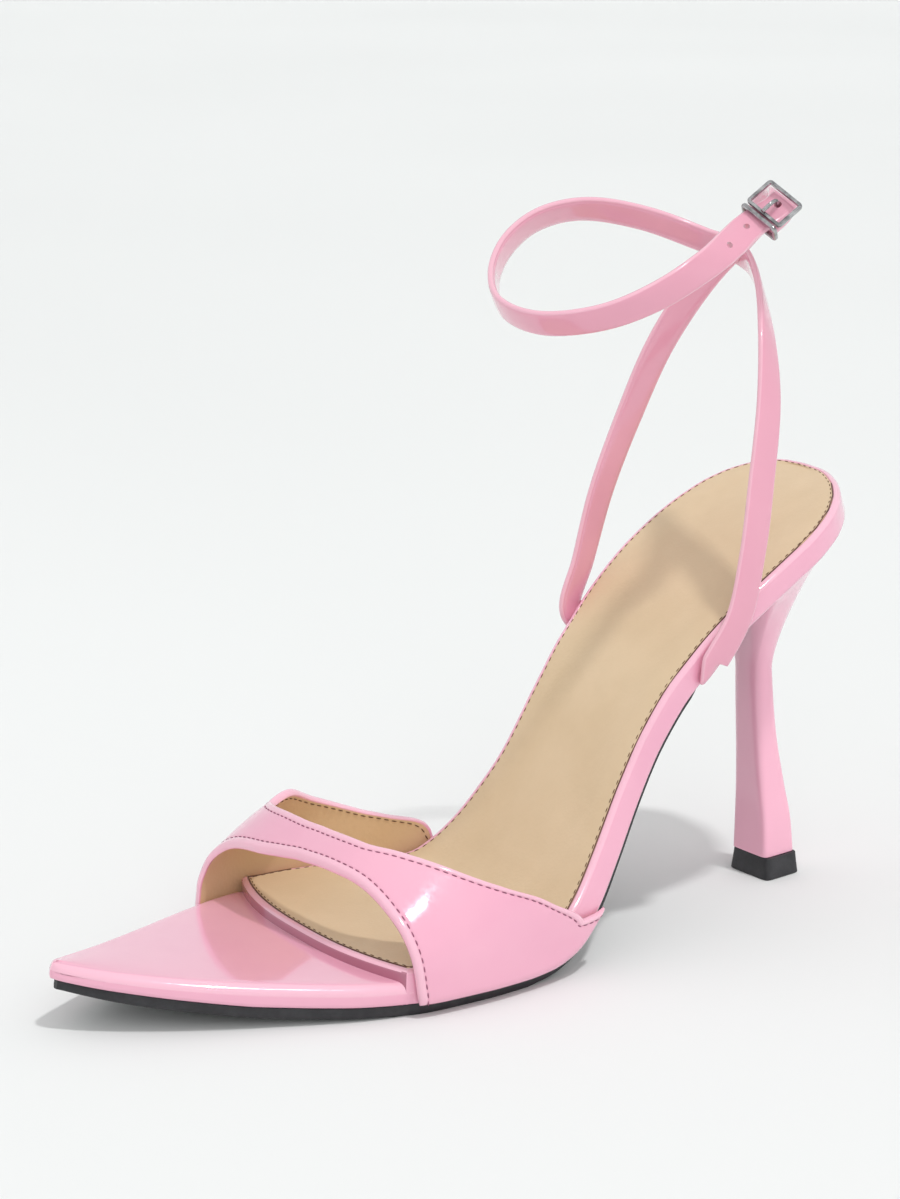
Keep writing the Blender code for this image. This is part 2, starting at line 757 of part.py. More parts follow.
def vamp_point(x, share, inner):
    """Point of the vamp's outer (inner = 0) or inner face at x and a share of the way round."""
    xs = [lengthwise(row[0]) for row in VAMP_SECTION]
    height = float(smooth(xs, column(VAMP_SECTION, 1), x)) * VAMP_HEIGHT - inner
    outer_power = float(smooth(xs, column(VAMP_SECTION, 2), x))
    inner_power = float(smooth(xs, column(VAMP_SECTION, 3), x))
    outer_edge, inner_edge = wall_edges(x)
    base = underside(x)
    wide = outer_edge + VAMP_GAP + VAMP_WALL - inner
    narrow = -inner_edge + VAMP_GAP + VAMP_WALL - inner
    if share <= SIDE_SHARE:
        return (x, wide, base + VAMP_SIDE * share / SIDE_SHARE)
    if share >= 1 - SIDE_SHARE:
        return (x, -narrow, base + VAMP_SIDE * (1 - share) / SIDE_SHARE)
    angle = math.pi * (share - SIDE_SHARE) / (1 - 2 * SIDE_SHARE)
    c = math.cos(angle)
    s = math.sin(angle)
    blend = float(ease(0.5 - 0.5 * c))
    power = outer_power * (1 - blend) + inner_power * blend
    reach = wide if c > 0 else narrow
    y = math.copysign(abs(c) ** (2 / power), c) * reach
    z = base + VAMP_SIDE + (height - VAMP_SIDE) * s ** (2 / power)
    return (x, y, z)


def make_vamp(mat, group):
    """Vamp band over the foot: a true wall between its front edge and its topline."""
    shares = column(VAMP_EDGES, 0)
    fronts = column(VAMP_EDGES, 1)
    rears = column(VAMP_EDGES, 2)
    around = 56
    across = 7
    rings = []
    for i in range(around + 1):
        t = i / around
        share = t - 0.0175 * math.sin(4 * math.pi * t)
        front = lengthwise(float(smooth(shares, fronts, share)))
        rear = lengthwise(float(smooth(shares, rears, share)))
        places = [front + (rear - front) * j / across for j in range(across + 1)]
        ring = [vamp_point(x, share, 0.0) for x in places]
        ring += [vamp_point(x, share, VAMP_WALL) for x in places[::-1]]
        rings.append(ring)
    width = len(rings[0])
    verts = [v for ring in rings for v in ring]
    faces = loft(rings)
    for base in (0, around * width):
        for j in range(across):
            faces.append((base + j, base + j + 1, base + width - 2 - j, base + width - 1 - j))
    new_object("vamp", verts, faces, mat, group, 40)


def catmull(points, per):
    """Smooth path through control points (centripetal Catmull-Rom)."""
    p = np.array(points, dtype=float)
    p = np.vstack([2 * p[0] - p[1], p, 2 * p[-1] - p[-2]])
    out = []
    for i in range(1, len(p) - 2):
        a, b, c, d = p[i - 1], p[i], p[i + 1], p[i + 2]
        t0 = 0.0
        t1 = t0 + math.sqrt(max(np.linalg.norm((b - a)[:3]), 1e-6))
        t2 = t1 + math.sqrt(max(np.linalg.norm((c - b)[:3]), 1e-6))
        t3 = t2 + math.sqrt(max(np.linalg.norm((d - c)[:3]), 1e-6))
        for k in range(per):
            t = t1 + (t2 - t1) * k / per
            a1 = (t1 - t) / (t1 - t0) * a + (t - t0) / (t1 - t0) * b
            a2 = (t2 - t) / (t2 - t1) * b + (t - t1) / (t2 - t1) * c
            a3 = (t3 - t) / (t3 - t2) * c + (t - t2) / (t3 - t2) * d
            b1 = (t2 - t) / (t2 - t0) * a1 + (t - t0) / (t2 - t0) * a2
            b2 = (t3 - t) / (t3 - t1) * a2 + (t - t1) / (t3 - t1) * a3
            out.append((t2 - t) / (t2 - t1) * b1 + (t - t1) / (t2 - t1) * b2)
    out.append(p[-2])
    return np.array(out)


def edge_direction(side, x):
    """Direction of the footbed's edge at x, on the outer (1) or inner (-1) side."""
    reach = STRAP_WIDTH / 2
    ax, az = profile_point(x - reach, -float(thickness(x)))
    bx, bz = profile_point(x + reach, -float(thickness(x)))
    pick = 0 if side > 0 else 1
    across = float(edges(x + reach)[pick] - edges(x - reach)[pick])
    direction = np.array([float(bx - ax), across, float(bz - az)])
    return direction / np.linalg.norm(direction)


def strap_rows(side, table):
    """Control rows of a strap: its root folded under the footbed's edge, then its path."""
    x = lengthwise(ROOT_SHARE)
    outer, inner = edges(x)
    edge = float(outer) if side > 0 else float(inner)
    bx, bz = profile_point(x, -float(thickness(x)))
    bx = float(bx)
    bz = float(bz)
    half = STRAP_THICK / 2
    tangent = edge_direction(side, x)
    lean = -side * tangent[1] / tangent[0]
    rows = [
        (bx - 0.2 * half, edge - side * 1.8 * half, bz - GAP - half, 0.0, 0.12 * side, -1.0),
        (bx - 0.2 * half, edge - side * 0.2 * half, bz - GAP - half * 0.75, 0.0, 0.5 * side, -0.86),
        (bx - 0.5 * half, edge + side * (GAP + half * 0.9), bz + 1.2 * half, lean, 0.96 * side, -0.28),
        (bx - 1.3 * half, edge + side * (GAP + half * 1.65), bz + 4.2 * half, lean, side, 0.0),
    ]
    for share, wide, height, nx, ny, nz in table:
        rows.append((lengthwise(share), wide * BALL_WIDTH, loop_height(height), nx, ny, nz))
    return rows


def ribbon(name, side, table, mat, group):
    """Strap swept along its control rows, with a sheared root along the footbed's slope."""
    per = 3
    path = catmull(strap_rows(side, table), per)
    centre = path[:, :3]
    out = path[:, 3:6]
    out /= np.linalg.norm(out, axis=1)[:, None]
    tangent = np.gradient(centre, axis=0)
    tangent /= np.linalg.norm(tangent, axis=1)[:, None]
    wide = np.cross(tangent, out)
    wide /= np.linalg.norm(wide, axis=1)[:, None]
    root_rings = 4 * per
    slope = edge_direction(side, lengthwise(ROOT_SHARE))
    if np.dot(wide[root_rings], slope) < 0:
        slope = -slope
    for i in range(root_rings + 1):
        t = float(ease((i / root_rings - 0.55) / 0.45))
        wide[i] = slope * 1.4 * (1 - t) + wide[i] * t
    half_w = STRAP_WIDTH / 2
    half_t = STRAP_THICK / 2
    rings = []
    for i in range(len(centre)):
        across = wide[i] * half_w
        face = out[i] * half_t
        rings.append([tuple(centre[i] + across * a + face * b) for a, b in STRAP_SECTION])
    verts = [v for ring in rings for v in ring]
    size = len(STRAP_SECTION)
    faces = loft(rings)
    faces.append(tuple(range(size)))
    faces.append(tuple(range((len(rings) - 1) * size, len(rings) * size)))
    return new_object(name, verts, faces, mat, group, 50), centre, out


def buckle_axes():
    """Middle of the buckle, and the directions along the strap, across it and outward."""
    share, wide, height = BUCKLE_SHARES
    at = np.array([lengthwise(share), wide * BALL_WIDTH, loop_height(height)])
    along = np.array(BUCKLE_ALONG)
    along /= np.linalg.norm(along)
    out = np.array(BUCKLE_OUT)
    out -= along * np.dot(out, along)
    out /= np.linalg.norm(out)
    return at, along, np.cross(out, along), out


def wire(name, points, thick, closed, mat, group):
    """Round wire through points: a curve object with a bevel and filled ends."""
    curve = bpy.data.curves.new(name, "CURVE")
    curve.dimensions = "3D"
    curve.bevel_depth = thick / 2 * MM
    curve.bevel_resolution = 2
    curve.use_fill_caps = True
    spline = curve.splines.new("POLY")
    spline.points.add(len(points) - 1)
    for knot, p in zip(spline.points, points):
        knot.co = (p[0] * MM, p[1] * MM, p[2] * MM, 1.0)
    spline.use_cyclic_u = closed
    spline.use_smooth = True
    curve.materials.append(mat)
    thing = bpy.data.objects.new(name, curve)
    group.objects.link(thing)


def rounded_rectangle(half_a, half_b, radius):
    """Points of a rounded rectangle, six at each corner."""
    points = []
    for qx, qy, start in ((1, 1, 0), (-1, 1, 90), (-1, -1, 180), (1, -1, 270)):
        for k in range(6):
            a = math.radians(start + 18 * k)
            x = qx * (half_a - radius) + radius * math.cos(a)
            y = qy * (half_b - radius) + radius * math.sin(a)
            points.append((x, y))
    return points


def make_buckle(mat, group):
    """Buckle frame, strap keeper just ahead of it, and the prong from the frame's bar into its hole."""
    at, along, across, out = buckle_axes()
    half_long = BUCKLE_LENGTH / 2 - BUCKLE_WIRE / 2
    half_wide = BUCKLE_WIDTH / 2 - BUCKLE_WIRE / 2
    ring = [at + along * a + across * b for a, b in rounded_rectangle(half_long, half_wide, BUCKLE_CORNER)]
    wire("buckle_frame", ring, BUCKLE_WIRE, True, mat, group)

    keeper_at = -half_long - BUCKLE_WIRE / 2 - GAP - KEEPER_WIRE / 2
    half = (STRAP_WIDTH + KEEPER_WIRE) / 2 + GAP * 2.7
    deep = STRAP_THICK + KEEPER_WIRE / 2 + 3 * GAP
    lower = deep - BUCKLE_WIRE * 0.2
    loop = []
    for a, b in rounded_rectangle(half, deep, KEEPER_CORNER):
        loop.append(at + along * keeper_at + across * a + out * (b - lower))
    wire("strap_keeper", loop, KEEPER_WIRE, True, mat, group)

    over = BUCKLE_WIRE / 2 + GAP + PRONG_WIRE / 2
    bend = [
        (PRONG_REACH, -STRAP_THICK * 1.42),
        (PRONG_REACH, -STRAP_THICK * 0.95),
        (PRONG_REACH - PRONG_WIRE * 0.05, -STRAP_THICK * 0.42),
        (PRONG_REACH - PRONG_WIRE * 0.2, STRAP_THICK * 0.1),
        (PRONG_REACH - PRONG_WIRE * 0.7, over * 0.8),
        (PRONG_REACH - PRONG_WIRE * 1.5, over),
        (PRONG_REACH - PRONG_WIRE * 2.6, over + PRONG_WIRE * 0.1),
        (-half_long - GAP, over + PRONG_WIRE * 0.05),
    ]
    wire("prong", [at + along * a + out * b for a, b in bend], PRONG_WIRE, False, mat, group)


def drill(name, place, axis, radius, cutters):
    """Cutting cylinder just longer than the strap is thick."""
    mesh = bpy.data.meshes.new(name)
    tool = bmesh.new()
    depth = (STRAP_THICK + 2 * GAP) * MM
    bmesh.ops.create_cone(
        tool, cap_ends=True, segments=20, radius1=radius * MM, radius2=radius * MM, depth=depth)
    turn = Vector(axis).to_track_quat("Z", "Y").to_matrix().to_4x4()
    bmesh.ops.transform(tool, matrix=Matrix.Translation(Vector(place) * MM) @ turn, verts=tool.verts)
    tool.to_mesh(mesh)
    tool.free()
    cutter = bpy.data.objects.new(name, mesh)
    cutter.hide_render = True
    cutter.display_type = "WIRE"
    cutters.objects.link(cutter)
    return cutter


def combine(thing, other, operation):
    """Exact boolean of two objects, written into the first one's mesh."""
    step = thing.modifiers.new("step", "BOOLEAN")
    step.operation = operation
    step.solver = "EXACT"
    step.object = other
    bpy.context.view_layer.update()
    graph = bpy.context.evaluated_depsgraph_get()
    merged = bpy.data.meshes.new_from_object(thing.evaluated_get(graph), depsgraph=graph)
    thing.modifiers.clear()
    thing.data = merged


def make_straps(mat, group, cutters):
    """Long and short strap, joined where they cross, with the prong's hole and two punched holes."""
    at, along, _, out = buckle_axes()
    strap, centre, outs = ribbon("ankle_strap", 1, LONG_PATH, mat, group)
    short, _, _ = ribbon("short_strap", -1, SHORT_PATH, mat, group)
    under_buckle = at - out * STRAP_THICK
    nearest = int(np.argmin(np.linalg.norm(centre - under_buckle, axis=1)))
    travelled = np.append(0.0, np.cumsum(np.linalg.norm(np.diff(centre, axis=0), axis=1)))
    drills = [("prong_hole", under_buckle + along * PRONG_REACH, out, HOLE_RADIUS * 1.15)]
    for k, step in enumerate(HOLE_STEPS):
        where = travelled[nearest] - step
        place = np.array([np.interp(where, travelled, centre[:, c]) for c in range(3)])
        axis = np.array([np.interp(where, travelled, outs[:, c]) for c in range(3)])
        drills.append(("punched_hole_%d" % (k + 1), place, axis, HOLE_RADIUS))
    combine(strap, short, "UNION")
    bpy.data.objects.remove(short, do_unlink=True)
    for name, place, axis, radius in drills:
        combine(strap, drill(name, place, axis, radius, cutters), "DIFFERENCE")


def main():
    clear_scene()
    group = bpy.data.collections.new("strappy_heeled_sandal")
    bpy.context.scene.collection.children.link(group)
    cutters = bpy.data.collections.new("cutters")
    bpy.context.scene.collection.children.link(cutters)

    make_footbed(material("pink_patent_leather", (0.92, 0.47, 0.61), 0.12), group)
    make_insole(material("tan_leather", (0.76, 0.6, 0.38), 0.5), group)
    make_outsole(material("black_sole_rubber", (0.03, 0.03, 0.035), 0.5), group)
    make_heel(material("heel_wrap_leather", (0.85, 0.42, 0.56), 0.25), group)
    make_lift(material("top_lift_rubber", (0.03, 0.03, 0.035), 0.5), group)
    make_vamp(material("vamp_leather", (0.92, 0.48, 0.62), 0.12), group)
    make_straps(material("strap_leather", (0.88, 0.42, 0.55), 0.15), group, cutters)
    make_buckle(material("buckle_metal", (0.8, 0.8, 0.8), 0.15, 1.0), group)


main()
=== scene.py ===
"""Looks of the left strappy heeled sandal: pink patent leather, tan insole, black sole and a silver buckle.

Sizes are in millimetres until a mesh is written. +X runs to the toe, +Y to the wearer's left (the outer side)
and +Z up, with the origin at the middle of the top lift's flat bottom.
"""
import math
import bpy
import bmesh
import numpy as np
from mathutils import Matrix, Vector


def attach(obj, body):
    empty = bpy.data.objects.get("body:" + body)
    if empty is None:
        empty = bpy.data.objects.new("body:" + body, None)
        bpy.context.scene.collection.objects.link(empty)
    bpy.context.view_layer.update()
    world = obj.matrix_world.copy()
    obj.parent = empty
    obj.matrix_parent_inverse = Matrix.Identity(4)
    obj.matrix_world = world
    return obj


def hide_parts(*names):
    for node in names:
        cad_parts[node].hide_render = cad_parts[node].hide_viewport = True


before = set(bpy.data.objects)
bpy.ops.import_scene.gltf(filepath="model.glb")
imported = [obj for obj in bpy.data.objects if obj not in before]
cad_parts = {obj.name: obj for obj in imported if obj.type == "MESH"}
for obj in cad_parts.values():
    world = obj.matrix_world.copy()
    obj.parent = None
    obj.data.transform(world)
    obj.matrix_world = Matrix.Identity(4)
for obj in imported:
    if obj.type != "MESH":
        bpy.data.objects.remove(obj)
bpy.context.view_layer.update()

MM = 0.001

# Main sizes of the shoe
SHOE_LENGTH = 222.5
SEAT_BACK_X = -19.5
BALL_WIDTH = 78.5
SEAT_HEIGHT = 101.4
TOE_SPRING = 8.1
GAP = 0.3

# Footbed, insole and outsole
EDGE_ROUND = 1.4
TOE_ROUND = 2.2
UNDER_ROUND = 1.1
TOE_START = 116.0
TOE_TUCK = 0.8
TUCK_END = 129.0
TIP_LENGTH = 9.0
RISE = 3.2
TOE_THICK = 5.4
WAIST_THICK = 3.6
TIP_THINNER = 1.5
SOLE_THICK = 2.6
SOLE_WAIST_THICK = 1.5
SOLE_TIP_THICK = 2.0
SOLE_INSET = 1.3
SOLE_WAIST_INSET = 1.7
SOLE_TIP_INSET = 2.2
TREAD_FLAT = 0.25
TAN_INSET = 1.7
TAN_PROUD = 0.12
TAN_SEAT = 0.6
NOSE_SHARE = 0.715
NOSE_DROP = 6.8
NOSE_POWER = 2.6
BREAST_SHARE = 0.182

# Heel and top lift
LIFT_LENGTH = 12.2
LIFT_WIDTH = 15.0
LIFT_HEIGHT = 5.7
LIFT_SPLAY = 0.7
LIFT_REAR = 0.88
LIFT_POWER = 9.0
HEEL_TURN = 3.0
NECK_LEAN = -4.6
NECK_SHIFT = 1.6
NECK_Z = 54.0
HEEL_POINTS = 96
SEAT_BACK_ROOM = 0.55
SEAT_SIDE_ROOM = 0.35
SEAT_OVERLAP = 1.3

# Vamp
VAMP_WALL = 1.8
VAMP_GAP = 0.45
VAMP_HEIGHT = 51.0
VAMP_SIDE = 7.0
SIDE_SHARE = 0.06
FOLD_WIDTH = 2.0
FOLD_PROUD = 0.16
VAMP_STEPS = 230

# Ankle strap
STRAP_WIDTH = 7.6
STRAP_THICK = 1.9
HOLE_RADIUS = 0.8
ROOT_SHARE = 0.281
ROOT_SLIM = 0.75
ROOT_WIDE = 1.25
STRAP_STEPS = 14
LOOP_BASE = 58.0
LOOP_TOP = 177.2

# Buckle
BUCKLE_WIDTH = 11.6
BUCKLE_LENGTH = 8.6
BUCKLE_WIRE = 1.3
BUCKLE_CORNER = 0.6
KEEPER_WIRE = 1.1
KEEPER_CORNER = 0.8
PRONG_WIRE = 1.0
PRONG_REACH = 0.9
HOLE_STEPS = (9.0, 17.0)

# Thread
STITCH_LENGTH = 1.45
STITCH_STEP = 2.1
STITCH_THICK = 0.34

# Outline seen from above, as shares of the shoe's length and ball width
OUTLINE = [
    # length share, outer edge, inner edge
    (0.0, -0.134, -0.134), (0.002, -0.046, -0.214), (0.011, 0.043, -0.283), (0.028, 0.131, -0.341),
    (0.053, 0.211, -0.385), (0.085, 0.273, -0.408), (0.125, 0.31, -0.414), (0.178, 0.32, -0.404),
    (0.231, 0.316, -0.375), (0.267, 0.312, -0.348), (0.303, 0.31, -0.321), (0.339, 0.315, -0.301),
    (0.371, 0.331, -0.297), (0.411, 0.371, -0.325), (0.447, 0.41, -0.367), (0.483, 0.439, -0.409),
    (0.537, 0.464, -0.462), (0.591, 0.476, -0.501), (0.645, 0.474, -0.52), (0.69, 0.451, -0.517),
    (0.726, 0.423, -0.492), (0.762, 0.382, -0.448), (0.807, 0.326, -0.382), (0.852, 0.268, -0.308),
    (0.897, 0.203, -0.232), (0.933, 0.143, -0.171), (0.964, 0.082, -0.117), (0.984, 0.033, -0.08),
    (0.996, -0.005, -0.054), (1.0, -0.029, -0.029),
]

# Side profile of the footbed's flat level: how far it has risen to the seat, and to the toe's spring
PROFILE = [
    # length share, seat share, toe spring share
    (-0.025, 1.02, 0.0), (0.038, 0.968, 0.0), (0.082, 0.925, 0.0), (0.126, 0.874, 0.0),
    (0.17, 0.814, 0.0), (0.214, 0.745, 0.0), (0.236, 0.706, 0.0), (0.258, 0.662, 0.0),
    (0.279, 0.615, 0.0), (0.301, 0.564, 0.0), (0.322, 0.503, 0.0), (0.341, 0.441, 0.0),
    (0.355, 0.389, 0.0), (0.373, 0.322, 0.0), (0.393, 0.25, 0.0), (0.414, 0.18, 0.0),
    (0.436, 0.113, 0.0), (0.459, 0.057, 0.0), (0.483, 0.018, 0.0), (0.51, 0.002, 0.0),
    (0.537, 0.0, 0.0), (0.591, 0.0, 0.0), (0.663, 0.0, 0.006), (0.717, 0.0, 0.062), (0.807, 0.0, 0.259),
    (0.874, 0.0, 0.469), (0.942, 0.0, 0.728), (1.004, 0.0, 1.012),
]

# Vamp cross-sections: height over the footbed's bottom, and how square each shoulder is
VAMP_SECTION = [
    # length share, height share, outer power, inner power
    (0.411, 1, 2.5, 3.2), (0.515, 0.931, 2.5, 3.2), (0.562, 0.865, 2.35, 3.15),
    (0.591, 0.824, 2.2, 3.15), (0.627, 0.765, 2.05, 3.15), (0.672, 0.659, 1.95, 3.1),
    (0.706, 0.549, 1.95, 3), (0.726, 0.478, 2, 2.95), (0.753, 0.431, 2, 2.9),
]

# Vamp edges round the foot, from the outer side (0) over the top to the inner side (1)
VAMP_EDGES = [
    # share round the foot, front and rear edge as length shares
    (0.0, 0.674, 0.425), (0.06, 0.678, 0.463), (0.122, 0.681, 0.519), (0.171, 0.684, 0.562),
    (0.241, 0.69, 0.607), (0.334, 0.698, 0.649), (0.412, 0.706, 0.671), (0.5, 0.713, 0.679),
    (0.537, 0.718, 0.681), (0.598, 0.723, 0.679), (0.686, 0.724, 0.669), (0.744, 0.726, 0.633),
    (0.823, 0.733, 0.594), (0.884, 0.738, 0.535), (0.93, 0.744, 0.464), (1.0, 0.75, 0.425),
]

# Ankle strap paths: centre line as shares of length, ball width and loop height, and the way the outer
# face looks
LONG_PATH = [
    # length share, width share, height share, nx, ny, nz
    (0.262, 0.339, 0.084, 0.0, 1, 0.05), (0.236, 0.354, 0.168, 0.04, 1, -0.05),
    (0.216, 0.345, 0.299, 0.06, 1, -0.15), (0.198, 0.316, 0.442, 0.06, 1, -0.1),
    (0.173, 0.254, 0.596, -0.08, 1, 0.05), (0.15, 0.15, 0.732, -0.5, 0.86, 0.25),
    (0.129, 0.027, 0.816, -0.88, 0.48, 0.33), (0.116, -0.106, 0.856, -0.96, -0.25, 0.45),
    (0.133, -0.233, 0.878, -0.72, -0.7, 0.6), (0.185, -0.348, 0.921, -0.35, -0.94, 0.8),
    (0.256, -0.396, 0.947, 0.0, -1, 0.8), (0.324, -0.377, 0.935, 0.3, -0.95, 0.5),
    (0.382, -0.311, 0.893, 0.6, -0.8, 0.1), (0.423, -0.209, 0.84, 0.85, -0.53, -0.25),
    (0.444, -0.073, 0.797, 1, -0.1, -0.6), (0.434, 0.088, 0.779, 0.86, 0.5, -0.75),
    (0.389, 0.22, 0.794, 0.55, 0.83, -0.6), (0.333, 0.285, 0.834, 0.25, 0.96, -0.25),
    (0.278, 0.312, 0.889, 0.08, 0.98, 0.05), (0.241, 0.292, 0.923, 0.25, 0.85, 0.4),
    (0.216, 0.27, 0.946, 0.45, 0.65, 0.57), (0.197, 0.269, 0.964, 0.54, 0.56, 0.6),
    (0.178, 0.278, 0.982, 0.55, 0.54, 0.64), (0.165, 0.283, 1, 0.55, 0.54, 0.64),
]
SHORT_PATH = [
    # length share, width share, height share, nx, ny, nz
    (0.277, -0.372, 0.101, 0.24, -1, 0.05), (0.26, -0.373, 0.198, 0.14, -1, 0.15),
    (0.238, -0.362, 0.349, -0.04, -1, 0.25), (0.209, -0.329, 0.508, -0.2, -0.98, 0.3),
    (0.182, -0.268, 0.663, -0.42, -0.9, 0.35), (0.147, -0.185, 0.801, -0.7, -0.71, 0.35),
    (0.12, -0.103, 0.888, -0.93, -0.36, 0.33), (0.113, -0.025, 0.94, -0.96, -0.1, 0.4),
    (0.119, 0.059, 0.976, -0.8, 0.25, 0.58), (0.132, 0.143, 0.99, -0.4, 0.5, 0.78),
    (0.149, 0.21, 0.987, 0.2, 0.55, 0.79), (0.172, 0.259, 0.969, 0.52, 0.55, 0.66),
    (0.191, 0.252, 0.944, 0.54, 0.55, 0.64),
]

# Heel rings: height, length and width shares of the neck's height and of the top lift, and the shift and
# lean as shares of the neck's
HEEL_RINGS = [
    # height share, half length share, half width share, power, lean share, shift share, rear share
    (0.0, 0.467, 0.453, 9.0, 0.08, 0.0, 0.88), (0.26, 0.43, 0.42, 7.5, 0.22, 0.1, 0.88),
    (0.444, 0.38, 0.375, 5.5, 0.45, 0.35, 0.88), (0.63, 0.337, 0.35, 4.0, 0.68, 0.65, 0.88),
    (0.815, 0.308, 0.34, 3.2, 0.87, 0.9, 0.95), (1.0, 0.3, 0.34, 2.7, 1.0, 1.0, 0.95),
]

# Middle of the buckle, as shares like those of the strap paths, and its directions
BUCKLE_SHARES = (0.1835, 0.2935, 0.9945)
BUCKLE_ALONG = (-0.80, 0.12, 0.585)
BUCKLE_OUT = (0.547, 0.543, 0.639)

FLAT_LEVEL = TOE_THICK + GAP + SOLE_THICK


def lengthwise(share):
    """Place along the shoe at a share of its length."""
    return SEAT_BACK_X + share * SHOE_LENGTH


def loop_height(share):
    """Height at a share of the way from the strap roots to the top of the loop."""
    return LOOP_BASE + share * (LOOP_TOP - LOOP_BASE)


TOE_X = lengthwise(1.0)
NOSE_X = lengthwise(NOSE_SHARE)
BREAST_X = lengthwise(BREAST_SHARE)
OUTLINE_X = np.array([lengthwise(row[0]) for row in OUTLINE])
OUTLINE_OUTER = np.array([row[1] * BALL_WIDTH for row in OUTLINE])
OUTLINE_INNER = np.array([row[2] * BALL_WIDTH for row in OUTLINE])
PROFILE_X = np.array([lengthwise(row[0]) for row in PROFILE])
SEAT_RISE = SEAT_HEIGHT - FLAT_LEVEL
PROFILE_Z = np.array([FLAT_LEVEL + row[1] * SEAT_RISE + row[2] * TOE_SPRING for row in PROFILE])
WALL_GRID = np.linspace(lengthwise(0.357), lengthwise(0.77), 361)


def column(table, index):
    """One column of a table as an array."""
    return np.array([row[index] for row in table], dtype=float)


def smooth(xs, ys, x):
    """Smooth curve through a table that never overshoots (monotone cubic)."""
    xs = np.asarray(xs, dtype=float)
    ys = np.asarray(ys, dtype=float)
    h = np.diff(xs)
    d = np.diff(ys) / h
    m = np.zeros(len(xs))
    m[0] = d[0]
    m[-1] = d[-1]
    for i in range(1, len(xs) - 1):
        if d[i - 1] * d[i] > 0:
            w1 = 2 * h[i] + h[i - 1]
            w2 = h[i] + 2 * h[i - 1]
            m[i] = (w1 + w2) / (w1 / d[i - 1] + w2 / d[i])
    x = np.clip(x, xs[0], xs[-1])
    k = np.clip(np.searchsorted(xs, x) - 1, 0, len(xs) - 2)
    t = (x - xs[k]) / h[k]
    t2 = t * t
    t3 = t2 * t
    return (
        (2 * t3 - 3 * t2 + 1) * ys[k]
        + (t3 - 2 * t2 + t) * h[k] * m[k]
        + (3 * t2 - 2 * t3) * ys[k + 1]
        + (t3 - t2) * h[k] * m[k + 1]
    )


def ease(t):
    """Smooth step from 0 to 1."""
    t = np.clip(t, 0.0, 1.0)
    return t * t * (3 - 2 * t)


def signed_power(value, power):
    """Power of a number that keeps the number's sign."""
    return math.copysign(abs(value) ** power, value)


def unit_rows(rows):
    """Rows of vectors, each brought to length 1."""
    return rows / np.linalg.norm(rows, axis=1)[:, None]


def along_shoe(shares, values, x):
    """Smooth curve through values given at length shares."""
    return smooth([lengthwise(share) for share in shares], values, x)


def profile_point(x, n):
    """Point over the profile at x, moved n along the profile's normal."""
    x = np.asarray(x, dtype=float)
    reach = SHOE_LENGTH * 0.007
    z = smooth(PROFILE_X, PROFILE_Z, x)
    slope = (smooth(PROFILE_X, PROFILE_Z, x + reach) - smooth(PROFILE_X, PROFILE_Z, x - reach)) / (2 * reach)
    size = np.sqrt(1.0 + slope * slope)
    return x - n * slope / size, z + n / size


def edges(x):
    """Outer and inner edge of the footbed at x."""
    return smooth(OUTLINE_X, OUTLINE_OUTER, x), smooth(OUTLINE_X, OUTLINE_INNER, x)


def thickness(x):
    """Footbed thickness below its flat level: thinner through the waist, and at the toe's tip."""
    base = along_shoe((0.357, 0.537), (WAIST_THICK, TOE_THICK), x)
    return base - along_shoe((0.829, 1.0), (0.0, TIP_THINNER), x)


def wall_table():
    """Footbed's side wall straight above x: its underside's height, and its widest outer and inner edge."""
    grid = WALL_GRID
    low_x, low_z = profile_point(grid, -thickness(grid))
    top_x, _ = profile_point(grid, np.full(grid.shape, RISE))
    low = edges(np.interp(grid, low_x, grid))
    top = edges(np.interp(grid, top_x, grid))
    return grid, np.interp(grid, low_x, low_z), np.maximum(low[0], top[0]), np.minimum(low[1], top[1])


WALL_X, WALL_LOW, WALL_LATERAL, WALL_MEDIAL = wall_table()


def board_edges(x):
    """Edges of the raised insole board, which closes in a curved nose over the toe shelf."""
    lateral, medial = edges(x)
    mid = (lateral + medial) / 2
    half = (lateral - medial) / 2
    u = np.clip((NOSE_X - np.asarray(x, dtype=float)) / NOSE_DROP, 0.0, 1.0) ** (1 / NOSE_POWER)
    return mid + half * u, mid - half * u


def rounded_back(step):
    """Stations from the seat's back, close together where its outline turns."""
    first = SEAT_BACK_X + 30.0 * np.linspace(0.0, 1.0, 22) ** 2.2
    return list(first) + list(np.arange(first[-1] + step, NOSE_X - NOSE_DROP, step))


def board_stations():
    """Stations of the board: along the sides, then round the nose."""
    nose = NOSE_X - NOSE_DROP * np.linspace(1.0, 0.0, 30) ** NOSE_POWER
    return np.array(rounded_back(1.6) + list(nose))


def toe_stations(start):
    """Stations of the toe platform, close together at the pointed tip."""
    tip = TOE_X - TIP_LENGTH * np.linspace(1.0, 0.0, 18) ** 1.8
    return np.array(list(np.arange(start, TOE_X - TIP_LENGTH - 0.4, 1.5)) + list(tip))


def outline_loop(xs, edge_rule):
    """Closed outline through the stations: lateral side from back to toe, then medial side back."""
    lateral, medial = edge_rule(xs)
    n = len(xs)
    loop = [(xs[i], lateral[i]) for i in range(n)]
    loop += [(xs[i], medial[i]) for i in range(n - 2, 0, -1)]
    return np.array(loop)


def inset_loop(loop, amount):
    """Loop moved inwards by an amount, one number or one for each point."""
    t = np.roll(loop, -1, axis=0) - np.roll(loop, 1, axis=0)
    t /= np.maximum(np.linalg.norm(t, axis=1), 1e-9)[:, None]
    normal = np.stack([t[:, 1], -t[:, 0]], axis=1)
    return loop + normal * np.broadcast_to(amount, len(loop))[:, None]


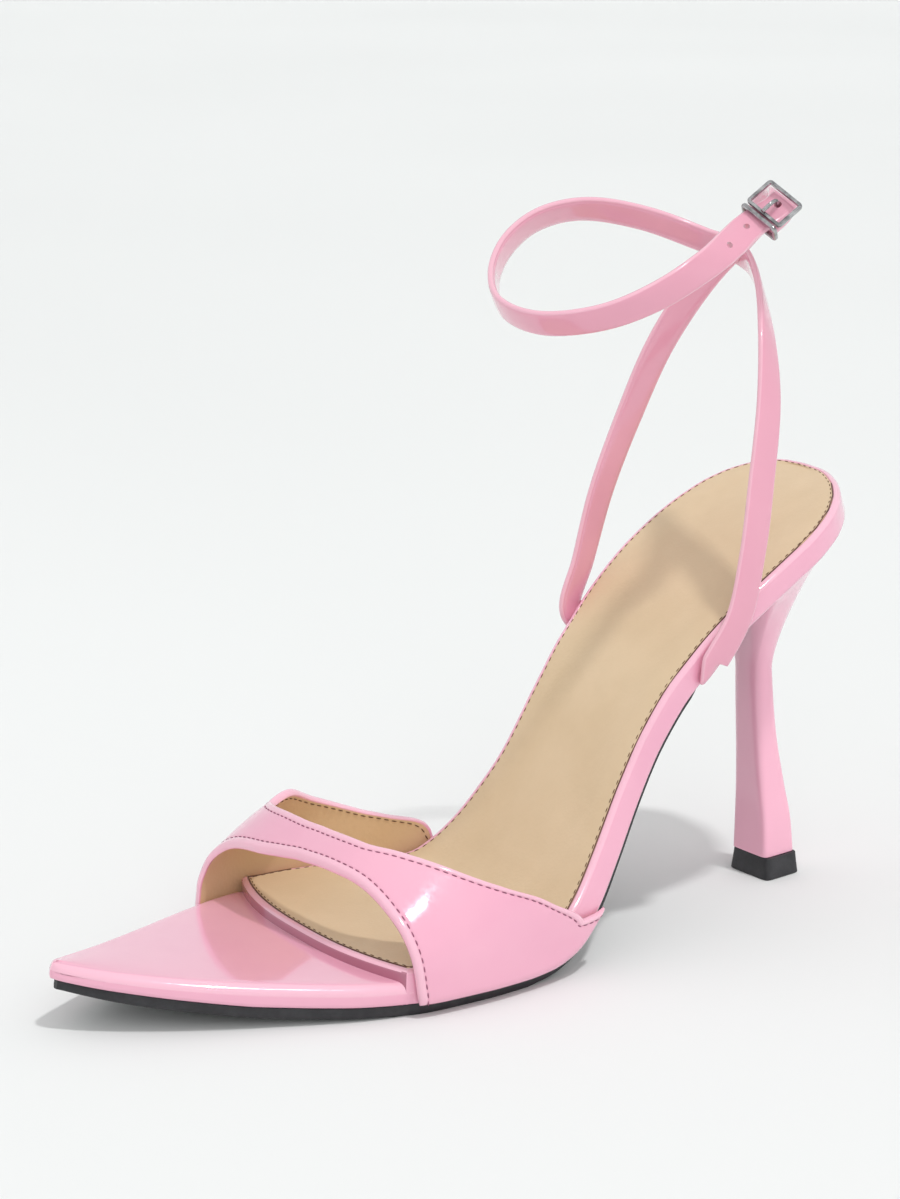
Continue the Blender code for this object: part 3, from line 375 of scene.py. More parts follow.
def add_object(name, data):
    """New object in the scene that holds a mesh, a lamp or a camera."""
    piece = bpy.data.objects.new(name, data)
    bpy.context.scene.collection.objects.link(piece)
    return piece


def baked(piece):
    """Mesh of an object with its modifiers applied."""
    graph = bpy.context.evaluated_depsgraph_get()
    return bpy.data.meshes.new_from_object(piece.evaluated_get(graph), depsgraph=graph)


def make_mesh(name, verts, faces, materials, sharp=40.0, slots=None, painted_highlight=None):
    """Finished piece from millimetre points, its faces outward, with an attribute marking edges for a painted
    highlight where given.
    """
    mesh = bpy.data.meshes.new(name)
    points = np.asarray(verts, dtype=float) * MM
    mesh.from_pydata(points.tolist(), [], [tuple(int(i) for i in f) for f in faces])
    for mat in materials:
        mesh.materials.append(mat)
    if slots is not None:
        mesh.polygons.foreach_set("material_index", np.asarray(slots, dtype=np.int32))
    if painted_highlight is not None:
        # marks edges that the patent material lightens as a painted highlight
        layer = mesh.attributes.new("painted_highlight", "FLOAT", "POINT")
        layer.data.foreach_set("value", np.asarray(painted_highlight, dtype=np.float32))
    bm = bmesh.new()
    bm.from_mesh(mesh)
    bmesh.ops.remove_doubles(bm, verts=bm.verts, dist=0.0000005)
    bmesh.ops.recalc_face_normals(bm, faces=bm.faces)
    bm.to_mesh(mesh)
    bm.free()
    mesh.shade_smooth()
    mesh.set_sharp_from_angle(angle=math.radians(sharp))
    return add_object(name, mesh)


def ring_faces(rows, width):
    """Quads between rings of equal width that follow each other."""
    faces = []
    for a in range(0, (rows - 1) * width, width):
        b = a + width
        for i in range(width):
            j = (i + 1) % width
            faces.append((a + i, a + j, b + j, b + i))
    return faces


def tube_faces(rows, width):
    """Faces of a closed tube: the quads between its rings, then a cap on each end."""
    last = (rows - 1) * width
    return ring_faces(rows, width) + [tuple(range(width)), tuple(range(last, last + width))]


def cap_grid(verts, faces, ring, first, columns=1, height=None):
    """Fills an outline loop; points between its sides follow a height rule of x, y and the share across."""
    count = len(ring)
    n = (count + 2) // 2
    rows = []
    for i in range(n):
        j = (count - i) % count
        if i in (0, n - 1):
            rows.append([first + i])
            continue
        row = [first + i]
        for c in range(1, columns):
            t = 0.5 - 0.5 * math.cos(math.pi * c / columns)
            p = ring[i] * (1 - t) + ring[j] * t
            qx, qz = profile_point(p[0], height(p[0], p[1], 2 * t - 1))
            verts.append((float(qx), p[1], float(qz)))
            row.append(len(verts) - 1)
        row.append(first + j)
        rows.append(row)
    for one, two in zip(rows, rows[1:]):
        if len(one) == 1:
            faces += [(one[0], two[c], two[c + 1]) for c in range(len(two) - 1)]
        elif len(two) == 1:
            faces += [(two[0], one[c + 1], one[c]) for c in range(len(one) - 1)]
        else:
            faces += [(one[c], two[c], two[c + 1], one[c + 1]) for c in range(len(one) - 1)]


def bent_slab(name, loop, levels, top_rule, columns, mat, painted_highlight_levels=()):
    """Slab over the profile from levels of (inset, height, share of the thickness), with two filled caps."""
    verts = []
    painted_highlight = []
    count = len(loop)
    for k, (inset, height, share) in enumerate(levels):
        ring = inset_loop(loop, inset)
        px, pz = profile_point(ring[:, 0], height + share * thickness(ring[:, 0]))
        verts += list(zip(px, ring[:, 1], pz))
        # levels listed for the rolled edge are marked for a painted highlight
        painted_highlight += [1.0 if k in painted_highlight_levels else 0.0] * count
    faces = ring_faces(len(levels), count)
    cap_grid(verts, faces, inset_loop(loop, levels[0][0]), 0)
    cap_grid(verts, faces, inset_loop(loop, levels[-1][0]), (len(levels) - 1) * count, columns, top_rule)
    painted_highlight += [0.0] * (len(verts) - len(painted_highlight))
    return make_mesh(name, verts, faces, [mat], 35.0, painted_highlight=painted_highlight)


def quarter(radius, steps, top):
    """Inset and height steps of a rounded edge, from the wall to the flat, or back for an underside."""
    out = []
    for k in range(steps + 1):
        a = math.pi / 2 * k / steps
        inset = radius * (1 - math.cos(a))
        drop = radius * (1 - math.sin(a))
        out.append((inset, drop))
    return out if top else out[::-1]


def tip_share(loop):
    """Insets shrink toward the pointed toe so that the loop doesn't cross itself."""
    return smooth([TOE_X - 16.0, TOE_X], [1.0, 0.5], loop[:, 0])


def make_board(mat):
    """Pink-wrapped board under the foot: full side wall, rolled upper edge and a curved nose."""
    loop = outline_loop(board_stations(), board_edges)
    levels = [(inset, drop, -1.0) for inset, drop in quarter(UNDER_ROUND, 4, False)]
    levels += [(0.0, 0.0, -0.45), (0.0, 0.1, 0.0)]
    levels += [(inset, RISE - drop, 0.0) for inset, drop in quarter(EDGE_ROUND, 8, True)]
    for inset, drop in ((-0.25, 0.02), (-0.02, 0.22), (0.12, TAN_SEAT)):
        levels.append((TAN_INSET + inset, RISE - drop, 0.0))
    # levels 9 to 15, the rolled upper edge, get a painted highlight
    return bent_slab("footbed_wrap", loop, levels, lambda x, y, u: RISE - TAN_SEAT, 4, mat, range(9, 16))


def make_toe(mat):
    """Pointed toe platform that runs on under the board's nose, with softly rolled edges."""
    loop = outline_loop(toe_stations(TOE_START), edges)
    tuck = TOE_TUCK * (1 - ease((loop[:, 0] - TUCK_END) / 1.8))
    share = tip_share(loop)
    levels = [(inset * share + tuck, drop, -1.0) for inset, drop in quarter(UNDER_ROUND, 4, False)]
    levels.append((tuck, 0.0, -0.5))
    levels += [(inset * share + tuck, -drop, 0.0) for inset, drop in quarter(TOE_ROUND, 8, True)]
    levels.append((TOE_ROUND * 1.5 * share + tuck, 0.06, 0.0))
    # levels 6 to 12, the rolled edge, get a painted highlight
    return bent_slab(
        "toe_platform", loop, levels, lambda x, y, u: 0.06 + 0.22 * (1 - u * u), 14, mat, range(6, 13))


def insole_height(x, y, u):
    """Height of the tan cover: a soft dish for the foot inside a slightly raised border."""
    dish = ease((0.86 - abs(u)) / 0.4) * 0.35
    wave = 0.12 * math.cos(x / 17.0) * math.cos(y / 11.0) * ease((0.8 - abs(u)) / 0.5)
    return RISE + TAN_PROUD - dish + wave


def make_insole(mat):
    """Tan insole cover let into the board's rolled edge."""
    loop = outline_loop(board_stations(), board_edges)
    border = ((0.1, 1.0), (0.02, 0.42), (0.06, 0.16), (0.22, 0.03), (0.5, 0.0))
    levels = [(TAN_INSET + inset, RISE + TAN_PROUD - drop, 0.0) for inset, drop in border]
    return bent_slab("insole_cover", loop, levels, insole_height, 26, mat)


def sole_inset(x):
    """Distance of the outsole's edge inside the footbed's edge at x; more in front of the heel."""
    marks = [lengthwise(share) for share in (0.2, 0.262, 0.3, 0.42, 0.54, 0.762, 1.0)]
    waist = SOLE_WAIST_INSET
    return smooth(marks, (waist + 3.0, waist + 3.0, waist, waist, SOLE_INSET, SOLE_INSET, SOLE_TIP_INSET), x)


def sole_thickness(x):
    """Outsole thickness: thin through the waist and a little thinner at the tip."""
    thick = (SOLE_WAIST_THICK, SOLE_WAIST_THICK, SOLE_THICK, SOLE_THICK, SOLE_TIP_THICK)
    return along_shoe((0.2, 0.4, 0.53, 0.91, 1.0), thick, x)


def make_outsole(mat):
    """Black outsole from the heel breast to the toe, its tread flat on the floor."""
    tip = TOE_X - 1.8 - 6.2 * np.linspace(1, 0, 10) ** 1.5
    xs = np.concatenate([np.arange(BREAST_X + 1.2, TOE_X - 8.0, 1.5), tip])
    lateral, medial = edges(xs)
    inset = sole_inset(xs)
    thick = sole_thickness(xs)
    verts = []
    for i, x in enumerate(xs):
        half = max((lateral[i] - medial[i]) / 2 - inset[i], 0.8)
        mid = (lateral[i] + medial[i]) / 2
        top = -float(thickness(x)) - 0.02
        low = -float(thickness(x)) - GAP - thick[i]
        bevel = min(0.7, half * 0.4)
        side = [(half - 0.25, top), (half, top - 0.3), (half + 0.05, (top + low) / 2)]
        for share, up in ((0.0, 0.35), (0.15, 0.17), (0.5, 0.05), (1.0, 0.0)):
            side.append((half - bevel * share, low + thick[i] * up))
        side += [(half * 0.6, low), (half * 0.2, low)]
        ring = side + [(-y, n) for y, n in reversed(side)] + [(-half * 0.4, top), (half * 0.4, top)]
        for y, n in ring:
            px, pz = profile_point(x, n)
            verts.append((float(px), mid + y, float(pz) if pz > TREAD_FLAT else 0.0))
    return make_mesh("outsole_black", verts, tube_faces(len(xs), len(verts) // len(xs)), [mat], 32.0)


def rounded_square(half_x, half_y, power, centre, z, rear):
    """Rounded-square ring of points, starting at the back and going over the outer side."""
    points = []
    for i in range(HEEL_POINTS):
        a = 2 * math.pi * i / HEEL_POINTS
        px = signed_power(-math.cos(a), 2 / power) * half_x
        py = signed_power(math.sin(a), 2 / power) * half_y
        py *= 1.0 + (rear - 1.0) * 0.5 * (1 - px / half_x)
        points.append((centre[0] + px, centre[1] + py, z))
    return points


def turned(points):
    """Heel points turned about the vertical by the heel's own angle."""
    c = math.cos(math.radians(HEEL_TURN))
    s = math.sin(math.radians(HEEL_TURN))
    return [(x * c - y * s, x * s + y * c, z) for x, y, z in points]


def seat_ring():
    """Top ring of the heel under the seat: the footbed's outline back of the breast."""
    start = SEAT_BACK_X + SEAT_BACK_ROOM
    end = BREAST_X - GAP
    half = (end - start) / 2
    mid = (end + start) / 2
    ring = []
    for i in range(HEEL_POINTS):
        a = 2 * math.pi * i / HEEL_POINTS
        cx = -math.cos(a)
        cy = math.sin(a)
        px = signed_power(cx, 0.9)
        fuller = 1.02 / max(math.sqrt(max(1 - px * px, 0.0)), 0.05)
        if cx > 0:
            px = min(1.0, px * 1.12)
            fuller = 1.25
        x = mid + half * px
        outer, inner = edges(x - GAP * 2)
        y = float(outer + inner) / 2
        room = float(outer - inner) / 2 - SEAT_SIDE_ROOM
        if abs(cy) > 0.001:
            y += math.copysign(room * min(1.0, abs(cy) ** 0.9 * fuller), cy)
        qx, qz = profile_point(x, -float(thickness(x)) + SEAT_OVERLAP)
        ring.append((float(qx), y, float(qz)))
    return ring


def flare_point(low, high, angle, t):
    """Point at t on the curve from the heel's neck up to its top ring, hollow at the back and sides."""
    back = max(math.cos(angle), 0.0)
    front = max(-math.cos(angle), 0.0)
    side = abs(math.sin(angle))
    weight = back + front + side
    inward = (0.26 * back + 0.62 * front + 0.34 * side) / weight
    drop = NECK_Z * (0.22 * back + 0.04 * front + 0.15 * side) / weight
    climb = NECK_Z * (0.167 * back + 0.148 * front + 0.167 * side) / weight
    p0 = np.array(low)
    p3 = np.array(high)
    p1 = p0 + np.array([0.0, 0.0, climb])
    p2 = p3 + np.array([(p0[0] - p3[0]) * inward, (p0[1] - p3[1]) * inward, -drop])
    s = 1 - t
    return tuple(s ** 3 * p0 + 3 * s * s * t * p1 + 3 * s * t * t * p2 + t ** 3 * p3)


def make_heel(mat):
    """Slim heel: a four-cornered foot, a slim neck and a flared top under the seat."""
    count = HEEL_POINTS
    steps = 28
    heights = column(HEEL_RINGS, 0) * NECK_Z
    rings = []
    for z in np.linspace(LIFT_HEIGHT + GAP * 0.4, NECK_Z, 26):
        row = [float(smooth(heights, column(HEEL_RINGS, c), z)) for c in range(1, 7)]
        half_x, half_y, power, lean, shift, rear = row
        centre = (NECK_SHIFT * shift, NECK_LEAN * lean)
        ring = rounded_square(half_x * LIFT_LENGTH, half_y * LIFT_WIDTH, power, centre, z, rear)
        rings.append(turned(ring))
    low = rings[0]
    middle = np.mean(low, axis=0)
    rings.insert(0, [tuple(middle + (np.array(p) - middle) * 0.975 - np.array([0, 0, 0.1])) for p in low])
    neck = rings[-1]
    top = seat_ring()
    for k in range(1, steps + 1):
        rings.append([flare_point(neck[i], top[i], 2 * math.pi * i / count, k / steps) for i in range(count)])
    verts = [v for ring in rings for v in ring]
    faces = ring_faces(len(rings), count)
    faces.append(tuple(range(count)))
    base = (len(rings) - 1) * count
    for k in range(count // 2):
        quad = [base + k, base + k + 1, base + (count - k - 1) % count, base + (count - k) % count]
        faces.append(tuple(dict.fromkeys(quad)))
    return make_mesh("heel_cover", verts, faces, [mat], 40.0)


def make_lift(mat):
    """Black top lift, splayed a little towards the floor, with fine bevels."""
    steps = (
        (0.0, 0.25), (0.08, 0.1), (0.3, 0.0), (LIFT_HEIGHT * 0.5, LIFT_SPLAY * 0.42),
        (LIFT_HEIGHT - 0.3, LIFT_SPLAY * 0.78), (LIFT_HEIGHT - 0.08, LIFT_SPLAY * 0.84),
        (LIFT_HEIGHT, LIFT_SPLAY),
    )
    verts = []
    for z, less in steps:
        verts += turned(rounded_square(
            LIFT_LENGTH / 2 - less, LIFT_WIDTH / 2 - less, LIFT_POWER, (0.0, 0.0), z, LIFT_REAR))
    return make_mesh("top_lift_black", verts, tube_faces(len(steps), HEEL_POINTS), [mat], 28.0)


SECTION_X = [lengthwise(row[0]) for row in VAMP_SECTION]
ARCH = [smooth(SECTION_X, column(VAMP_SECTION, c), WALL_GRID) for c in (1, 2, 3)]


def vamp_point(x, share, inner):
    """Point of the vamp's outer (inner = 0) or inner face at x and a share of the way round."""
    height, lateral_power, medial_power = [float(np.interp(x, WALL_GRID, row)) for row in ARCH]
    walls = (WALL_LOW, WALL_LATERAL, WALL_MEDIAL)
    base, lateral, medial = [float(np.interp(x, WALL_X, row)) for row in walls]
    height = height * VAMP_HEIGHT - inner
    wide = lateral + VAMP_GAP + VAMP_WALL - inner
    narrow = VAMP_GAP + VAMP_WALL - inner - medial
    side = SIDE_SHARE
    tucked = 1.5 * (1 - inner / VAMP_WALL)
    if share <= side or share >= 1 - side:
        low = share <= side
        rise = VAMP_SIDE * (share if low else 1 - share) / side
        pull = tucked * (1 - math.sqrt(max(1 - max(1 - rise / 2.6, 0.0) ** 2, 0.0)))
        return (x, wide - pull if low else pull - narrow, base + rise)
    angle = math.pi * (share - side) / (1 - 2 * side)
    c = math.cos(angle)
    s = math.sin(angle)
    blend = ease(0.5 - 0.5 * c)
    power = lateral_power * (1 - blend) + medial_power * blend
    y = signed_power(c, 2 / power) * (wide if c > 0 else narrow)
    return (x, y, base + VAMP_SIDE + (height - VAMP_SIDE) * s ** (2 / power))


def vamp_row(share):
    """Outer and inner points across the vamp at a share of the way round, spaced for its folded edges."""
    shares = column(VAMP_EDGES, 0)
    front = lengthwise(float(smooth(shares, column(VAMP_EDGES, 1), share)))
    rear = lengthwise(float(smooth(shares, column(VAMP_EDGES, 2), share)))
    grid = np.linspace(0.0, 1.0, 25)
    line = np.array([vamp_point(front + (rear - front) * t, share, 0.0) for t in grid])
    length = np.append(0.0, np.cumsum(np.linalg.norm(np.diff(line, axis=0), axis=1)))
    fold = min(FOLD_WIDTH, 0.27 * length[-1])
    wall = VAMP_WALL / 2
    near = np.array([wall * 0.6, wall] + [fold * k for k in (0.62, 0.8, 0.92, 1.0, 1.08, 1.22, 1.5)])
    middle = np.linspace(fold * 1.9, length[-1] - fold * 1.9, 22)
    at = np.concatenate([near, middle, (length[-1] - near)[::-1]])
    x = front + (rear - front) * np.interp(at, length, grid)
    outer = np.array([vamp_point(v, share, 0.0) for v in x])
    inner = np.array([vamp_point(v, share, VAMP_WALL) for v in x])
    depth = np.minimum(at, length[-1] - at)
    lift = FOLD_PROUD * ease((depth - 0.2) / 0.6) * ease((fold * 0.97 - depth) / (fold * 0.3))
    groove = -0.14 * np.exp(-((depth - fold) / 0.22) ** 2)
    return outer + unit_rows(outer - inner) * (lift + groove)[:, None], inner, depth, fold


def make_vamp(leather, lining):
    """Vamp band over the toes: folded and stitched edges outside, tan lining inside."""
    verts = []
    painted_highlight = []
    stitch = {"front": [], "rear": [], "lining": []}
    turn = [math.radians(a) for a in (25, 55, 90, 125, 155)]
    for i in range(VAMP_STEPS + 1):
        t = i / VAMP_STEPS
        share = t - 0.0175 * math.sin(4 * math.pi * t)
        outer, inner, depth, fold = vamp_row(share)
        n = len(outer)
        row = list(outer)
        # the folded edges and their rounded turns are marked for a painted highlight
        row_painted_highlight = list(ease((fold - depth) / 0.5))
        for end, step in ((n - 1, -1), (0, 1)):
            a = outer[end] if step < 0 else inner[end]
            b = inner[end] if step < 0 else outer[end]
            away = outer[end] - outer[end + step]
            away /= np.linalg.norm(away)
            half = (a - b) / 2
            bulge = away * np.linalg.norm(half) * 0.6
            row += [(a + b) / 2 + half * math.cos(q) + bulge * math.sin(q) for q in turn]
            row_painted_highlight += [1.0] * len(turn)
            if step < 0:
                row += list(inner[::-1])
                row_painted_highlight += [0.0] * n
        verts += row
        painted_highlight += row_painted_highlight
        if 0.004 < share < 0.996:
            face = unit_rows(outer - inner)
            stitch["front"].append((outer[5] + face[5] * 0.08, face[5]))
            stitch["rear"].append((outer[n - 6] + face[n - 6] * 0.08, face[n - 6]))
            stitch["lining"].append((inner[n - 6] - face[n - 6] * 0.08, -face[n - 6]))
    width = len(verts) // (VAMP_STEPS + 1)
    n = (width - 2 * len(turn)) // 2
    lined = range(n + len(turn) + 1, 2 * n + len(turn) - 2)
    slots = [1 if i in lined else 0 for i in range(width)] * VAMP_STEPS + [0, 0]
    faces = tube_faces(VAMP_STEPS + 1, width)
    return make_mesh("vamp_band", verts, faces, [leather, lining], 50.0, slots, painted_highlight), stitch


def between(t, start, stop, a, b):
    """Mix of two points by where t lies from start to stop."""
    return (stop - t) / (stop - start) * a + (t - start) / (stop - start) * b


def catmull(points, per):
    """Smooth path through control points (centripetal Catmull-Rom)."""
    p = np.array(points, dtype=float)
    p = np.vstack([2 * p[0] - p[1], p, 2 * p[-1] - p[-2]])
    out = []
    for i in range(1, len(p) - 2):
        a, b, c, d = p[i - 1], p[i], p[i + 1], p[i + 2]
        knots = [0.0]
        for one, two in ((a, b), (b, c), (c, d)):
            knots.append(knots[-1] + math.sqrt(max(np.linalg.norm((two - one)[:3]), 1e-6)))
        t0, t1, t2, t3 = knots
        for k in range(per):
            t = t1 + (t2 - t1) * k / per
            a1 = between(t, t0, t1, a, b)
            a2 = between(t, t1, t2, b, c)
            a3 = between(t, t2, t3, c, d)
            b1 = between(t, t0, t2, a1, a2)
            b2 = between(t, t1, t3, a2, a3)
            out.append(between(t, t1, t2, b1, b2))
    out.append(p[-2])
    return np.array(out)


def edge_direction(side, x):
    """Direction of the footbed's edge at x, on the outer (1) or inner (-1) side."""
    reach = STRAP_WIDTH / 2
    ax, az = profile_point(x - reach, -float(thickness(x)))
    bx, bz = profile_point(x + reach, -float(thickness(x)))
    pick = 0 if side > 0 else 1
    across = float(edges(x + reach)[pick] - edges(x - reach)[pick])
    direction = np.array([float(bx - ax), across, float(bz - az)])
    return direction / np.linalg.norm(direction)


def strap_rows(side, table):
    """Control rows of a strap: its root folded under the footbed's edge, then its path."""
    x = lengthwise(ROOT_SHARE)
    outer, inner = edges(x)
    edge = float(outer) if side > 0 else float(inner)
    bx, bz = profile_point(x, -float(thickness(x)))
    bx = float(bx)
    bz = float(bz)
    half = STRAP_THICK / 2
    tangent = edge_direction(side, x)
    lean = -side * tangent[1] / tangent[0]
    rows = [
        (bx - 0.2 * half, edge - side * 2.4 * half, bz + half * 1.5, 0.0, 0.12 * side, -1.0),
        (bx - 0.2 * half, edge - side * 0.8 * half, bz + half * 1.2, 0.0, 0.5 * side, -0.86),
        (bx - 0.5 * half, edge + side * (GAP + half * 0.75), bz + 2.0 * half, lean, 0.96 * side, -0.28),
        (bx - 1.3 * half, edge + side * (GAP + half * 1.5), bz + 4.2 * half, lean, side, 0.0),
    ]
    for share, wide, height, nx, ny, nz in table:
        rows.append((lengthwise(share), wide * BALL_WIDTH, loop_height(height), nx, ny, nz))
    return rows


def strap_section():
    """Strap section: domed outer face, rounded folded edges and a narrower lining strip inside."""
    half_w = STRAP_WIDTH / 2
    half_t = STRAP_THICK / 2
    outer = []
    for a in (0.97, 0.93, 0.86, 0.76, 0.62, 0.45, 0.25, 0.0):
        outer.append((half_w * a, half_t * (0.78 + 0.22 * (1 - a * a)) * (1 - a ** 10) ** 0.4))
    outer += [(-a, b) for a, b in outer[-2::-1]]
    inner = [
        (-0.97, -0.45), (-0.92, -0.66), (-0.84, -0.74), (-0.76, -0.76), (-0.735, -0.9), (-0.69, -0.96),
        (-0.4, -1.0), (0.0, -1.0),
    ]
    inner += [(-a, b) for a, b in inner[-2::-1]]
    section = [(half_w, 0.0)] + outer + [(-half_w, 0.0)]
    return section + [(half_w * a, half_t * b) for a, b in inner]


def make_strap(name, side, path, mat):
    """Strap swept along its path, with a sheared root along the footbed's slope."""
    rows = catmull(strap_rows(side, path), STRAP_STEPS)
    centre = rows[:, :3]
    out = unit_rows(rows[:, 3:6])
    tangent = unit_rows(np.gradient(centre, axis=0))
    wide = unit_rows(np.cross(tangent, out))
    along = edge_direction(side, lengthwise(ROOT_SHARE))
    last = 4 * STRAP_STEPS
    rearward = -along
    if np.dot(wide[last], along) < 0:
        along = -along
    for i in range(last + 1):
        t = ease((i / last - 0.7) / 0.3)
        narrow = ROOT_SLIM + (ROOT_WIDE - ROOT_SLIM) * ease((i / last - 0.3) / 0.5)
        wide[i] = along * narrow * (1 - t) + wide[i] * t
        centre[i] += rearward * (ROOT_WIDE - narrow) * STRAP_WIDTH * 0.3 * (1 - t)
    section = strap_section()
    verts = []
    painted_highlight = []
    for i in range(len(centre)):
        end = min(i, len(centre) - 1 - i)
        slim = 0.55 + 0.45 * ease(end / 4.0)
        for a, b in section:
            verts.append(tuple(centre[i] + wide[i] * a * (0.97 + 0.03 * slim) + out[i] * b * slim))
            # the strap's folded edges are marked for a painted highlight
            painted_highlight.append(1.0 if abs(a) > STRAP_WIDTH * 0.44 else 0.0)
    faces = tube_faces(len(centre), len(section))
    return make_mesh(name, verts, faces, [mat], 60.0, painted_highlight=painted_highlight), centre, out


def punch(strap, places):
    """Small round holes cut right through the strap."""
    for k, (place, axis, radius) in enumerate(places):
        mesh = bpy.data.meshes.new("punch_%d" % k)
        tool = bmesh.new()
        size = radius * MM
        deep = (STRAP_THICK + 0.8) * MM
        bmesh.ops.create_cone(tool, cap_ends=True, segments=28, radius1=size, radius2=size, depth=deep)
        turn = Vector(axis).to_track_quat("Z", "Y").to_matrix().to_4x4()
        bmesh.ops.transform(tool, matrix=Matrix.Translation(Vector(place) * MM) @ turn, verts=tool.verts)
        tool.to_mesh(mesh)
        tool.free()
        pin = add_object("punch_%d" % k, mesh)
        cut = strap.modifiers.new("hole", "BOOLEAN")
        cut.operation = "DIFFERENCE"
        cut.solver = "EXACT"
        cut.object = pin
        strap.data = baked(strap)
        strap.modifiers.clear()
        bpy.data.objects.remove(pin, do_unlink=True)


def wire(name, points, section, closed, mat, plane):
    """Round or squared cord of a given section (list of across, deep) along points in a plane."""
    p = np.array(points, dtype=float)
    n = len(p)
    width = len(section)
    steps = np.roll(p, -1, axis=0) - np.roll(p, 1, axis=0) if closed else np.gradient(p, axis=0)
    tangent = unit_rows(steps)
    verts = []
    for i in range(n):
        u = np.cross(tangent[i], plane)
        u /= np.linalg.norm(u)
        v = np.cross(tangent[i], u)
        verts += [tuple(p[i] + u * a + v * b) for a, b in section]
    if closed:
        base = (n - 1) * width
        faces = ring_faces(n, width)
        faces += [(base + i, base + (i + 1) % width, (i + 1) % width, i) for i in range(width)]
    else:
        faces = tube_faces(n, width)
    return make_mesh(name, verts, faces, [mat], 55.0)


def oval(half_a, half_b, count, power=2.0):
    """Wire section, round at power 2 and squarer above."""
    points = []
    for k in range(count):
        a = 2 * math.pi * (k + 0.5) / count
        across = signed_power(math.cos(a), 2 / power) * half_a
        points.append((across, signed_power(math.sin(a), 2 / power) * half_b))
    return points


def rounded_rectangle(half_a, half_b, radius):
    """Points of a rounded rectangle, ten round each corner."""
    points = []
    for qx, qy, start in ((1, 1, 0), (-1, 1, 90), (-1, -1, 180), (1, -1, 270)):
        for k in range(10):
            a = math.radians(start + 10 * k)
            x = qx * (half_a - radius) + radius * math.cos(a)
            points.append((x, qy * (half_b - radius) + radius * math.sin(a)))
    return points


def stitch_tree(material):
    """Geometry Nodes: even stitches along an edge path, lying on the leather beneath them."""
    tree = bpy.data.node_groups.new("stitch_row", "GeometryNodeTree")
    face = tree.interface
    face.new_socket("Geometry", in_out="INPUT", socket_type="NodeSocketGeometry")
    sizes = (
        ("Stitch step", STITCH_STEP), ("Stitch length", STITCH_LENGTH), ("Thread thickness", STITCH_THICK),
    )
    for name, value in sizes:
        face.new_socket(name, in_out="INPUT", socket_type="NodeSocketFloat").default_value = value * MM
    face.new_socket("Geometry", in_out="OUTPUT", socket_type="NodeSocketGeometry")
    add = tree.nodes.new
    start = add("NodeGroupInput")
    end = add("NodeGroupOutput")
    curve = add("GeometryNodeMeshToCurve")
    even = add("GeometryNodeResampleCurve")
    even.mode = "LENGTH"
    ball = add("GeometryNodeMeshUVSphere")
    ball.inputs["Segments"].default_value = 8
    ball.inputs["Rings"].default_value = 6
    ball.inputs["Radius"].default_value = 0.5
    size = add("ShaderNodeCombineXYZ")
    shape = add("GeometryNodeTransform")
    place = add("GeometryNodeInstanceOnPoints")
    tangent = add("GeometryNodeInputTangent")
    normal = add("GeometryNodeInputNamedAttribute")
    normal.data_type = "FLOAT_VECTOR"
    normal.inputs["Name"].default_value = "face_normal"
    ahead = add("FunctionNodeAlignRotationToVector")
    ahead.axis = "X"
    upright = add("FunctionNodeAlignRotationToVector")
    upright.axis = "Z"
    upright.pivot_axis = "X"
    real = add("GeometryNodeRealizeInstances")
    coat = add("GeometryNodeSetMaterial")
    coat.inputs["Material"].default_value = material
    smooth_all = add("GeometryNodeSetShadeSmooth")
    for source, output, target, entry in (
        (start, "Geometry", curve, "Mesh"),
        (curve, "Curve", even, "Curve"),
        (start, "Stitch step", even, "Length"),
        (start, "Stitch length", size, "X"),
        (start, "Thread thickness", size, "Y"),
        (start, "Thread thickness", size, "Z"),
        (ball, "Mesh", shape, "Geometry"),
        (size, "Vector", shape, "Scale"),
        (even, "Curve", place, "Points"),
        (shape, "Geometry", place, "Instance"),
        (tangent, "Tangent", ahead, "Vector"),
        (ahead, "Rotation", upright, "Rotation"),
        (normal, "Attribute", upright, "Vector"),
        (upright, "Rotation", place, "Rotation"),
        (place, "Instances", real, "Geometry"),
        (real, "Geometry", smooth_all, "Geometry"),
        (smooth_all, "Geometry", coat, "Geometry"),
        (coat, "Geometry", end, "Geometry"),
    ):
        tree.links.new(source.outputs[output], target.inputs[entry])
    return tree


def sew(name, rows, thread, step=STITCH_STEP, length=STITCH_LENGTH, thick=STITCH_THICK, closed=False):
    """One row of stitches along (point, face normal) rows, as a plain mesh."""
    mesh = bpy.data.meshes.new(name + "_path")
    count = len(rows)
    lines = [(i, i + 1) for i in range(count - 1)]
    if closed:
        lines.append((count - 1, 0))
    mesh.from_pydata([tuple(float(c) * MM for c in p) for p, _ in rows], lines, [])
    layer = mesh.attributes.new("face_normal", "FLOAT_VECTOR", "POINT")
    layer.data.foreach_set("vector", np.array([n for _, n in rows], dtype=np.float32).ravel())
    path = add_object(name + "_path", mesh)
    tree = stitch_tree(thread)
    nodes = path.modifiers.new("stitches", "NODES")
    nodes.node_group = tree
    sizes = {"Stitch step": step, "Stitch length": length, "Thread thickness": thick}
    for item in tree.interface.items_tree:
        if item.in_out == "INPUT" and item.name in sizes:
            nodes[item.identifier] = sizes[item.name] * MM
    made = baked(path)
    bpy.data.objects.remove(path, do_unlink=True)
    return add_object(name, made)


def new_material(name):
    """Empty node material with its Principled shader and object coordinates."""
    mat = bpy.data.materials.new(name)
    mat.use_nodes = True
    nodes = mat.node_tree.nodes
    return mat, nodes["Principled BSDF"], nodes.new("ShaderNodeTexCoord").outputs["Object"]


def join(mat, source, socket):
    """Link from one node's output to another node's input."""
    mat.node_tree.links.new(source, socket)


